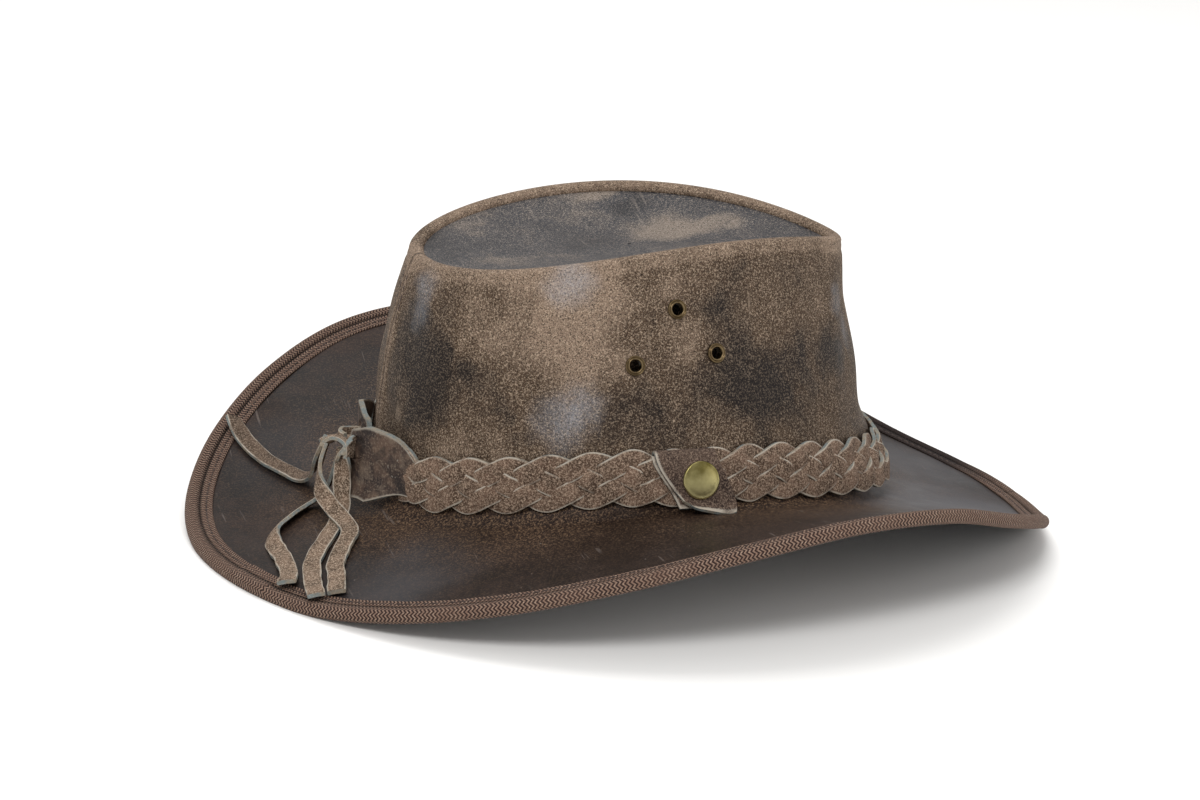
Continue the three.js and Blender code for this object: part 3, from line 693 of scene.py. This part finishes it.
def lift_at(angle):
    """How far the brim's edge is lifted, on a curve through the lifts of every 15 degrees."""
    turn = np.degrees(angle) % 360 / 15
    i = np.floor(turn).astype(int)
    t = turn - i
    before, here, after, beyond = (LIFTS[(i + k) % len(LIFTS)] for k in (-1, 0, 1, 2))
    slope_in, slope_out = (after - before) / 2, (beyond - here) / 2
    rise = after - here
    bend = 3 * rise - 2 * slope_in - slope_out + t * (slope_in + slope_out - 2 * rise)
    return BRIM_LIFT * np.maximum(here + t * (slope_in + t * bend), 0)


def edge_at(angle):
    up = lift_at(angle) + BULGE / 2 - REST
    return spot(BRIM_LENGTH / 2 * np.cos(angle), BRIM_WIDTH / 2 * np.sin(angle), up)


def brim_at(angle, share):
    angle, share = np.broadcast_arrays(angle, share)
    foot = on_crown(angle, -SEAT_GAP, 0)
    place = foot + (edge_at(angle) - foot) * share[..., None]
    place[..., 2] -= BRIM_DIP * np.sin(math.pi * clamp(share))
    return place


def brim_normal(angle, share):
    around, outwards = slopes(brim_at, angle, share, 0.01)
    return unit(np.cross(outwards, around))


def ring_angles(count):
    return np.arange(count) * 2 * math.pi / count


def frontward(angle):
    """1 at the hat's front, and nothing from its sides back."""
    return np.maximum(np.cos(angle), 0) ** 3


# Crown
def add_crown():
    count, wall_rows, roll_rows, roll_outside, inner_rows = 360, 56, 18, 14, 30
    seam_radius = 90
    ridge, groove = 4.5, 0.7
    foot_flare, flare_start, flare_end = 3.8, 10, 44
    angle = ring_angles(count)[:, None]
    slant = slant_at(angle)
    top = slant - ROLL_HEIGHT
    wall = np.linspace(0, 1, wall_rows) * top
    turn = np.radians(np.linspace(-20, 235, roll_rows))
    roll_off = ROLL_WIDTH / 2 * (np.cos(turn) - 1) + 0 * angle
    roll_up = slant + ROLL_HEIGHT / 2 * (np.sin(turn) - 1)
    inner = np.linspace(1, 0, inner_rows) * (top - SEAT_GAP)
    off = np.concatenate([0 * wall, roll_off, 0 * inner - CROWN_WALL], axis=1)
    up = np.concatenate([wall, roll_up, inner], axis=1)
    columns = off.shape[1]
    angles = np.repeat(angle, columns, axis=1)
    base = on_crown(angles, up, off)
    outside = np.repeat([1, 0.4, 0], [wall_rows, roll_outside, columns - wall_rows - roll_outside])
    side = np.abs(angles - BACK_SEAM) * seam_radius
    dents = 0.75 * wobble(base, 70, 5) + 0.35 * wobble(base, 30, 6)
    seam = 0.7 * bell(side, ridge) - 0.8 * bell(side, groove)
    crease = -0.45 * bell(up - (top - 1.2), 1.1) * outside
    low = clamp(up / flare_start) * clamp((flare_end - up) / (flare_end / 2)) ** 2
    flare = foot_flare * frontward(angles) * clamp(low * 1.1)
    held = clamp((slant - up) / 25) * clamp(up / 20)
    place = on_crown(angles, up, off + (dents * held + seam) * outside + crease + flare)
    faces = grid_faces(count, columns, close_rows=True, close_columns=True)
    rolled = clamp((up - (top - 2.5)) / 2.5) * np.where(outside > 0, 1, 0.4)
    values = {"rim": rolled, "seam": bell(side, 0.8), "ridge": np.exp(-(side / ridge) ** 4)}
    crown = add_mesh("crown_leather", place, faces, [crown_leather], "crown_leather", ["crown_side"], values)
    return face_out(crown)


def lathe(profile, centre, axis, count):
    """Points and faces of a turned shape on an axis, from pairs of radius and height."""
    first = unit(np.cross(axis, (0, 0, 1)))
    second = np.cross(axis, first)
    turn = ring_angles(count)[:, None, None]
    radius, height = (np.array(column)[None, :, None] for column in zip(*profile))
    points = centre + radius * (np.cos(turn) * first + np.sin(turn) * second) + height * axis
    return points, grid_faces(count, len(profile), close_rows=True)


# Degrees from the hat's side, and the share of the way up the wall
EYELETS = [(-11.1, 0.575), (-0.6, 0.772), (9, 0.589)]


def add_eyelets(crown):
    bore, flange, face = EYELET_BORE / 2, EYELET_DIAMETER / 2, SEAT_GAP + 0.05
    profile = [
        (bore - 0.25, -CROWN_WALL - 0.7), (bore - 0.3, 0.1), (bore - 0.2, 0.55), (bore + 0.02, 0.85),
        (bore + 0.35, 0.9), (bore + 0.58, 0.62), (bore + 0.66, face + 0.08), (bore + 0.8, face + 0.12),
        (bore + 0.95, 0.62), (flange - 0.38, 0.78), (flange - 0.12, 0.6), (flange, face - 0.1),
        (flange - 0.02, 0), (bore + 0.3, -0.3),
    ]
    drilled = bore + 0.4
    drill_profile = [(NEAR_AXIS, -6), (drilled, -6), (drilled, 6), (NEAR_AXIS, 6)]
    drills = []
    for side, middle, way in (("right", 270, 1), ("left", 90, -1)):
        for number, (from_side, up) in enumerate(EYELETS, 1):
            angle = math.radians(middle + way * from_side)
            centre, axis = wall_at(angle, up), wall_normal(angle, up)
            ring, node = lathe(profile, centre, axis, 40), f"eyelet_{side}_{number}"
            face_out(add_mesh(node + "_ring", *ring, [old_brass], "fittings", [node]))
            drills.append(lathe(drill_profile, centre, axis, 24))
    drill = face_out(placed("drill", mesh_of("drill", *join(drills))))
    cut = crown.modifiers.new("cut", "BOOLEAN")
    cut.object = drill
    cut.operation = "DIFFERENCE"
    graph = bpy.context.evaluated_depsgraph_get()
    crown.data = bpy.data.meshes.new_from_object(crown.evaluated_get(graph))
    crown.modifiers.clear()
    bpy.data.objects.remove(drill)


add_eyelets(add_crown())


def add_tip():
    count, thickness = 240, 1.6
    angle = ring_angles(count)
    up = slant_at(angle) - ROLL_HEIGHT - TIP_DROP + TIP_SEAM
    edge = on_crown(angle, up, -CROWN_WALL - SEAT_GAP + 0.3)
    middle = edge.mean(axis=0)
    shares = np.concatenate([np.linspace(0.01, 0.9, 36), [0.94, 0.97, 1.0]])
    place = middle + (edge[:, None, :] - middle) * shares[:, None]
    height = middle[2] - TIP_DISH + (edge[:, None, 2] - middle[2] + TIP_DISH) * shares ** 2
    height -= 0.9 * bell(shares - 0.99, 0.015)
    place[..., 2] = height + 0.5 * wobble(place, 60, 8) * (1 - shares ** 4)
    both = np.concatenate([place, place[:, ::-1] - (0, 0, thickness)], axis=1)
    faces = grid_faces(count, both.shape[1], close_rows=True)
    face_out(add_mesh("tip_leather", both, faces, [tip_leather], "tip_leather", ["crown_tip"]))


add_tip()


# Stitches: how far along each ring of a stitch's points is, how big it is and how high
STITCH_RINGS = [(-0.5, 0.3, -1.2), (-0.4, 0.85, -0.35), (0, 1, 0.2), (0.4, 0.85, -0.35), (0.5, 0.3, -1.2)]
STITCH_SIDES = 6


def add_stitches(name, lines, length, radius, slot):
    """Short stitches along lines of places, forwards and ups, each a rounded bar that dips at both ends."""
    places, forwards, ups = (np.concatenate(column) for column in zip(*lines))
    sides = np.cross(forwards, ups)
    parts = []
    for t, size, high in STITCH_RINGS:
        middle = places + forwards * length * t + ups * radius * high
        for a in ring_angles(STITCH_SIDES):
            parts.append(middle + (sides * math.cos(a) + ups * math.sin(a)) * radius * size)
    one = grid_faces(len(STITCH_RINGS), STITCH_SIDES, close_columns=True)
    starts = range(0, len(parts) * len(places), len(parts))
    faces = [tuple(start + i for i in face) for start in starts for face in one]
    add_mesh(name, np.stack(parts, axis=1), faces, [thread], slot)


def add_seam_stitches():
    from_seam, radius, spacing, off = 3.1, 94, 3.9, 0.55
    lines = []
    for away in (-from_seam, from_seam):
        up = np.arange(6, slant_at(BACK_SEAM) - 8, spacing)
        angle = BACK_SEAM + away / radius
        places = on_crown(angle, up, off)
        ahead = unit(on_crown(angle, up + 1, off) - places)
        lines.append((places, ahead, wall_normal(angle, up / slant_at(BACK_SEAM))))
    add_stitches("seam_stitches", lines, 3.1, 0.42, "crown_leather")


add_seam_stitches()


# Brim and its binding
def add_brim():
    count, turn_rows, flat_rows, turned_share = 400, 8, 40, 0.1
    angle = ring_angles(count)[:, None]
    last = 1 - 0.8 * BULGE / np.linalg.norm(edge_at(angle) - on_crown(angle, 0, 0), axis=-1)
    near = np.linspace(0, turned_share, turn_rows)[:-1]
    shares = np.concatenate([near, np.linspace(turned_share, 1, flat_rows)]) * last
    swell = 0.5 * wobble(brim_at(angle, shares), 80, 12) * np.sin(math.pi * clamp(shares))
    normal = brim_normal(angle, shares)
    upper = brim_at(angle, shares) + normal * swell[..., None]
    lower = (upper - normal * BRIM_THICKNESS)[:, ::-1]
    turned = clamp(1 - shares / turned_share) ** 2
    raised = on_crown(angle, BAND_LOW + 1.2, 0.25) - on_crown(angle, -SEAT_GAP, 0)
    upper = upper + raised * turned[..., None]
    inner = -CROWN_WALL - SEAT_GAP
    ups = [-1, 2, COLLAR, COLLAR, 2, -0.5]
    collar = on_crown(angle, ups, [inner - BRIM_THICKNESS] * 3 + [inner] * 3)
    place = np.concatenate([collar, upper, lower], axis=1)
    faces = grid_faces(count, place.shape[1], close_rows=True, close_columns=True)
    inside = np.concatenate([np.ones((count, len(ups))), 1 - shares, (1 - shares)[:, ::-1]], axis=1)
    values = {"inner": inside}
    brim = add_mesh("brim_leather", place, faces, [brim_leather], "brim_leather", ["brim"], values, sharp=60)
    face_out(brim)


add_brim()


def edge_frame(angle):
    """The middle of the brim's edge, and the ways outwards and up from it."""
    up = brim_normal(angle, 1)
    outwards = unit(brim_at(angle, 1) - brim_at(angle, 0.9))
    return edge_at(angle) - up * (BRIM_THICKNESS / 2), outwards, up


def add_binding():
    count, lap_start, lap_end = 720, 196, 204
    groove, spacing = 2.3, 3.7
    angle = ring_angles(count)
    radius = BULGE / 2
    face = [(x - TAPE_WIDTH, y) for x, y in (
        (0, 1.05), (-0.15, 1.5), (0.25, 1.85), (1.2, 1.95), (1.9, 1.8),
        (groove, 1.55), (2.7, 1.8), (3.6, 2.0), (4.8, 1.9),
    )]
    face.append((-1.15 * BULGE, 1.85))
    turns = np.radians(np.linspace(118, -118, 22))
    bead = [(radius * (math.cos(t) - 1), radius * math.sin(t)) for t in turns]
    profile = face + bead + [(out, -off) for out, off in reversed(face)] + [(-4.2, -1.0), (-4.2, 1.0)]
    out, off = np.array(profile).T
    middle, outwards, normal = edge_frame(angle)
    degrees = np.degrees(angle)[:, None]
    lap = np.where((degrees > lap_start) & (degrees < lap_end), 0.7, 0.0)
    pucker = 0.12 * wobble(middle, 14, 21)[:, None] * bell(out + 8.5, 3)
    off = off + np.sign(off) * (lap * (np.abs(off) > 1.02) + pucker)
    place = middle[:, None] + outwards[:, None] * out[:, None] + normal[:, None] * off[..., None]
    place[..., 2] = np.maximum(place[..., 2], 0)
    along = run_along(middle)
    values = {
        "along": np.repeat(along[:, None], len(profile), 1),
        "across": np.tile(run_along(profile), (count, 1)),
    }
    faces = grid_faces(count, len(profile), close_rows=True, close_columns=True)
    face_out(add_mesh("binding_tape", place, faces, [twill_tape], "binding_tape", ["brim_binding"], values))
    turn = np.interp(np.arange(0, along[-1], spacing), along, angle)
    middle, outwards, up = edge_frame(turn)
    lines = []
    for side in (1, -1):
        line = middle + outwards * (groove - TAPE_WIDTH) + up * side * 1.75
        lines.append((line, unit(np.roll(line, -1, axis=0) - line), up * side))
    add_stitches("binding_stitches", lines, 3.0, 0.36, "binding_tape")


add_binding()


# Hatband
BAND_START = math.radians(180 + TAB_GAP)
BAND_END = math.radians(540 - TAB_GAP)
KEEPERS = {"right": math.radians(KEEPER_ANGLE), "left": math.radians(720 - KEEPER_ANGLE)}
TAB_ALONG = [0, 0.12, 0.4, 0.7, 0.88, 1]
TAB_OFF = [1, 0.93, 0.6, 0.2, 0.05, 0]
TAB_WIDE = [0.94, 1, 1, 0.7, 0.3, 0]


def keeper_nearness(angle):
    here = on_crown(angle, STUD_UP, 0)
    away = [np.linalg.norm(on_crown(keeper, STUD_UP, 0) - here, axis=-1) for keeper in KEEPERS.values()]
    return 1 - clamp((np.minimum(*away) - 0.75 * KEEPER_WIDTH) / KEEPER_SPREAD)


def band_at(angle):
    """How far the band's inner face is off the crown, and its lower and upper edges up the crown."""
    share = clamp(np.minimum(angle - BAND_START, BAND_END - angle) / math.radians(TAB_SPAN))
    wide = smooth_table(share, TAB_ALONG, TAB_WIDE)
    off = smooth_table(share, TAB_ALONG, TAB_OFF)
    layer = (KEEPER_THICKNESS + 2 * SEAT_GAP - BAND_GAP) * keeper_nearness(angle)
    low = BAND_LOW - TAB_DROOP * off
    high = low + BAND_WIDTH + (TAB_WIDTH - BAND_WIDTH) * wide - layer
    return BAND_GAP + layer + TAB_STAND_OFF * off + BAND_SLACK * frontward(angle), low, high


fine_angles = np.linspace(BAND_START, BAND_END, 2400)
fine_off, fine_low, fine_high = band_at(fine_angles)
fine_middle = (fine_low + fine_high) / 2
fine_along = run_along(on_crown(fine_angles, fine_middle, fine_off + BAND_THICKNESS / 2))
BAND_RUN = fine_along[-1]


def on_band(along, up, off):
    """A point by its way along the band, its height from the middle line, and how far off the inner face."""
    tables = fine_angles, fine_middle, fine_off
    angle, middle, inner = (np.interp(along, fine_along, table) for table in tables)
    return on_crown(angle, middle + up, inner + off)


STRAND_WIDTH, STRAND_THICKNESS = 7.8, 1.7
PLAIT_PERIOD, PLAIT_HALF = 63, 11.2
TAB_RUN = 33.0


def zigzag(phase, half):
    """A triangle wave with rounded turns, from -half up to half and back."""
    sharpness = 0.965
    return -half * np.arcsin(sharpness * np.cos(2 * math.pi * phase)) / math.asin(sharpness)


def over_under(phase):
    """1 where a strand passes over the others, and -1 where it passes under."""
    passes = np.array([0.0, 1, -1, 1, 0, -1, 1, -1, 0])
    turn = phase % 1 * 8
    i = np.minimum(turn.astype(int), 7)
    t = eased(turn - i)
    return passes[i] * (1 - t) + passes[i + 1] * t


def add_plait():
    swing = PLAIT_HALF - STRAND_WIDTH / 2 * 1.08
    fan, fan_run, under_tab, past_tab, step = 4.6, 12, 4, 8, 0.9
    start, end = TAB_RUN - under_tab, BAND_RUN - TAB_RUN + under_tab
    along = np.arange(start, end, step)
    plaited = eased(clamp(np.minimum(along - start, end - along) / fan_run))

    def fanned(where):
        """Each strand's height where they lie flat, in their order at a place near by."""
        heights = np.array([zigzag(where / PLAIT_PERIOD + k / 4, swing) for k in range(4)])
        return (np.argsort(np.argsort(heights)) - 1.5) * fan

    flat_near, flat_far = fanned(TAB_RUN + past_tab), fanned(BAND_RUN - TAB_RUN - past_tab)
    front = frontward(np.interp(along, fine_along, fine_angles))
    strips = []
    for k in range(4):
        phase = along / PLAIT_PERIOD + k / 4
        flat = np.where(along < BAND_RUN / 2, flat_near[k], flat_far[k])
        up = flat * (1 - plaited) + zigzag(phase, swing) * plaited
        depth = over_under(phase) * plaited
        off = BAND_THICKNESS / 2 + depth - 1.1 * (1 - plaited) + front * (1.2 - 0.36 * up)
        path = on_band(along, up, off)
        looks = on_band(along, up, off + 1) - path
        strips.append(strip(path, looks, STRAND_WIDTH, STRAND_THICKNESS, 30 + k, crown=0.28, wave=0.03))
    add_strips("hatband_plait", strips, strand_suede, "band_leather", ["hatband"], 50)


add_plait()


def slab(name, outer, inner, leather, rim, replaces=()):
    """A thin closed sheet from its outer and inner faces, with its cut edge of material 1."""
    rows, columns = outer.shape[:2]
    size = rows * columns
    sheet = grid_faces(rows, columns)
    faces = sheet + [tuple(size + i for i in face[::-1]) for face in sheet]
    border = list(range(columns))
    border += [i * columns + columns - 1 for i in range(1, rows)]
    border += [(rows - 1) * columns + j for j in range(columns - 2, -1, -1)]
    border += [i * columns for i in range(rows - 2, 0, -1)]
    which = [0] * len(faces) + [1] * len(border)
    faces += [(b, a, size + a, size + b) for a, b in zip(border, border[1:] + border[:1])]
    points = np.stack([outer, inner])
    values = {"across": np.stack([rim, rim])}
    return add_mesh(name, points, faces, [leather, cut_edge], "band_leather", replaces, values, which, 45)


def add_tab(name, mirrored):
    length, span_run = TAB_RUN + 4, 34
    far_tuck, tuck_run = 9.3, 20
    along = np.linspace(0, length, 70)[:, None]
    shares = np.linspace(-1, 1, 41)
    above = smooth_table(along, [0, 1.5, 5, 15, 24, length], [11.2, 13.1, 14.2, 14.4, 12.6, 7.5])
    below = np.interp(along, [0, 2, 6, 15, length], [10.6, 11.8, 12.8, 14.6, 5.5])
    ragged = 0.3 * wobble(along * (1, 0, 0), 9, 40)[:, None]
    up = np.where(shares > 0, above, below) * shares + ragged
    here = along + 0.5 * np.sin(up * 0.7) * clamp(1 - along / 4)
    curl = 1.3 * np.clip(-up / 13, 0, 2) ** 2 + 0.5 * (up / 13) ** 2
    hole_along = LACE_HOLE_INSET / TAB_SPAN * span_run
    hole_up = LACE_HOLE_UP - np.interp(hole_along, fine_along, fine_middle)
    away = np.hypot(here - hole_along, up - hole_up)
    ring = 0.45 * bell(away - 5.2, 0.5) - 0.6 * bell(away - 4.2, 0.5)
    at = BAND_RUN - here if mirrored else here
    tuck = far_tuck * np.interp(here, [0, tuck_run], [1, 0]) if mirrored else 0
    outer = on_band(at, up, TAB_THICKNESS + curl + ring - tuck)
    inner = on_band(at, up * 1.02, curl + 0.1 - tuck)
    if mirrored:
        outer, inner = outer[:, ::-1], inner[:, ::-1]
    rim = np.maximum(np.abs(shares), np.abs(np.linspace(-1, 1, len(along)))[:, None])
    slab(name, outer, inner, tab_leather, rim)


add_tab("hatband_tab_near", False)
add_tab("hatband_tab_far", True)


# Keepers and their studs
def keeper_rows():
    """Rows of how far off the crown, up it and round it a keeper is, and how wide."""
    back = SEAT_GAP + KEEPER_THICKNESS / 2
    front = back + BAND_THICKNESS + KEEPER_THICKNESS + 2 * SEAT_GAP
    top = BAND_LOW + BAND_WIDTH - KEEPER_THICKNESS / 2
    return [
        (front + KEEPER_FLAP, SEAT_GAP - KEEPER_THICKNESS / 2, 0.15, 0.76),
        (front + 0.45 * KEEPER_FLAP, 0.3 * BAND_LOW, 0.14, 0.86),
        (front + 0.1 * KEEPER_FLAP, 0.85 * BAND_LOW, 0.13, 0.9),
        (front, 1.4 * BAND_LOW, 0.1, 0.92),
        (front, top - 3, -0.2, 1),
        (front - 0.9, top - 0.7, -0.22, 1),
        (0.5 * (front + back), top + 0.3, -0.22, 1),
        (back + 0.9, top - 0.7, -0.22, 1),
        (back, top - 3, -0.2, 1),
        (back, 0.3 * BAND_LOW, 0.06, 0.95),
    ]


def keeper_sheet(name, angle, rows, thickness, push, slant, replaces=()):
    """A keeper's leather along its rows, pushed outwards, with a slanted tongue."""
    rows = np.asarray(rows, float)
    run = run_along(rows[:, :2])
    at = np.linspace(0, run[-1], 90)
    off, up, lean, wide = (smooth_table(at, run, column)[:, None] for column in rows.T)
    ahead = unit(np.gradient(np.hstack([off, up]), axis=0))
    mirror = 1 if math.sin(angle) < 0 else -1
    reach = 0.01
    step = np.linalg.norm(slopes(wall_at, angle, 0, reach)[0]) / (2 * reach)
    shares = np.linspace(-1, 1, 25)
    around = angle + mirror * KEEPER_WIDTH * (lean + shares * wide / 2) / step
    tongue = clamp(1 - at / 9)[:, None] * slant * (0.4 + shares - 0.75 * np.abs(shares) ** 5)
    sheets = []
    for half in (thickness / 2, -thickness / 2):
        shift = (half + push) * ahead
        sheets.append(on_crown(around, up - shift[:, :1] - tongue, off + shift[:, 1:]))
    rim = np.maximum(clamp(-shares), clamp(1.03 - at / 14)[:, None])
    outer, inner, rim = (part if mirror > 0 else part[:, ::-1] for part in (*sheets, rim))
    face_out(slab(name, outer, inner, keeper_suede, rim, replaces))


def add_keeper(side, angle):
    rows = keeper_rows()
    keeper_sheet(f"keeper_{side}_flap", angle, rows, 1.2, 0.2, 2.2, [f"keeper_{side}"])
    under = [(off, up, lean - 0.05, wide) for off, up, lean, wide in rows[1:6]]
    keeper_sheet(f"keeper_{side}_under", angle, under, 0.8, -0.85, 0.0)
    radius = STUD_DIAMETER / 2
    base = 2 * KEEPER_THICKNESS + BAND_THICKNESS + 4 * SEAT_GAP
    centre = on_crown(angle, STUD_UP, base)
    axis = wall_normal(angle, STUD_UP / slant_at(angle))
    profile = [
        (NEAR_AXIS, -0.2), (radius - 0.6, -0.2), (radius - 0.1, 0.05), (radius, 0.35), (radius - 0.12, 0.7),
        (radius - 0.45, 0.95), (0.9 * radius, 0.98), (0.84 * radius, 0.98), (0.74 * radius, 1.14),
        (0.58 * radius, 1.32), (0.4 * radius, 1.46), (0.2 * radius, 1.54), (NEAR_AXIS, 1.57),
    ]
    dome = lathe(profile, centre, axis, 56)
    face_out(add_mesh(f"press_stud_{side}_cap", *dome, [brass], "fittings", [f"press_stud_{side}"]))


for side, angle in KEEPERS.items():
    add_keeper(side, angle)


# The lace's knot: its arch, its leads with the way each one's flat looks, and its loop to both tabs
EDGE_ON = (-0.92, 0.35, 0.1)
KNOT_ARCH = [
    (-114.4, -12.6, 36.5), (-114, -12.6, 38.6), (-114.2, -11.4, 41.2), (-115.9, -9.1, 42.7),
    (-118.6, -6.6, 42.7), (-120.9, -4.4, 40.5),
]
KNOT_LEADS = [
    (EDGE_ON, [
        (-112.6, -10.4, 41.6), (-115.1, -11.5, 40), (-116.6, -11.4, 38.9), (-117.9, -10.5, 37.1),
        (-116.4, -5, 35.6), (-116, -2, 34.2),
    ]),
    (EDGE_ON, [(-110, -8, 41), (-113.2, -10.2, 41.4), (-115.4, -11.6, 39.6), (-116.2, -11.9, 37.5)]),
    (LYING, [(-109, 5, 38.4), (-113.5, 5.2, 38.8), (-118, 4.6, 38.8), (-120.6, 3.6, 37.8)]),
]
KNOT_LOOP = [
    (-112.5, 1.5, 39), (-113.6, 5.5, 39.4), (-112.2, 9.2, 39.2), (-108.8, 10.6, 38.8), (-104.6, 9.4, 38.6),
]


def add_knot():
    turn_width = LACE_WIDTH - 1
    path = curve_through(KNOT_ARCH, 60)
    strips = [strip(path, path - (-117.5, -9.5, 36), turn_width, LACE_THICKNESS, 60)]
    for seed, (looks, route) in enumerate(KNOT_LEADS, 61):
        strips.append(strip(curve_through(route, 40), looks, turn_width, LACE_THICKNESS, seed))
    path = curve_through(KNOT_LOOP, 50)
    looks = (path - (-108, 0, 39)) * (1, 1, 0)
    strips.append(strip(path, looks, turn_width - 0.2, LACE_THICKNESS, 70, crown=0.2))
    add_strips("lace_knot_turns", strips, lace_suede, "lace_leather", ["lace_knot"], 45)


add_knot()


# Floor and light
def add_floor():
    reach = 6000
    corners = [(-reach, -reach, 0), (reach, -reach, 0), (reach, reach, 0), (-reach, reach, 0)]
    mesh = mesh_of("floor", corners, [(0, 1, 2, 3)], [material("floor", floor_build)])
    floor = placed("floor", mesh)


def add_light(name, place, size, power):
    light = bpy.data.lights.new(name, "AREA")
    light.shape = "RECTANGLE"
    light.size, light.size_y = size
    light.energy = power
    lamp = placed(name, light)
    lamp.location = place
    hat_middle = Vector((0, 0, 0.05))
    lamp.rotation_euler = (hat_middle - Vector(place)).to_track_quat("-Z", "Y").to_euler()


add_floor()
add_light("key", (-0.9, -1.5, 1.9), (1.0, 0.7), 30)
add_light("fill", (1.6, -1.2, 0.7), (1.4, 1.2), 9)
add_light("top", (0.1, 0.7, 2.0), (1.6, 1.0), 18)

world = bpy.data.worlds.new("world")
bpy.context.scene.world = world
world.use_nodes = True
background = world.node_tree.nodes["Background"].inputs
background["Color"].default_value = (1, 1, 1, 1)
background["Strength"].default_value = 0.65
bpy.context.scene.view_settings.view_transform = "Standard"
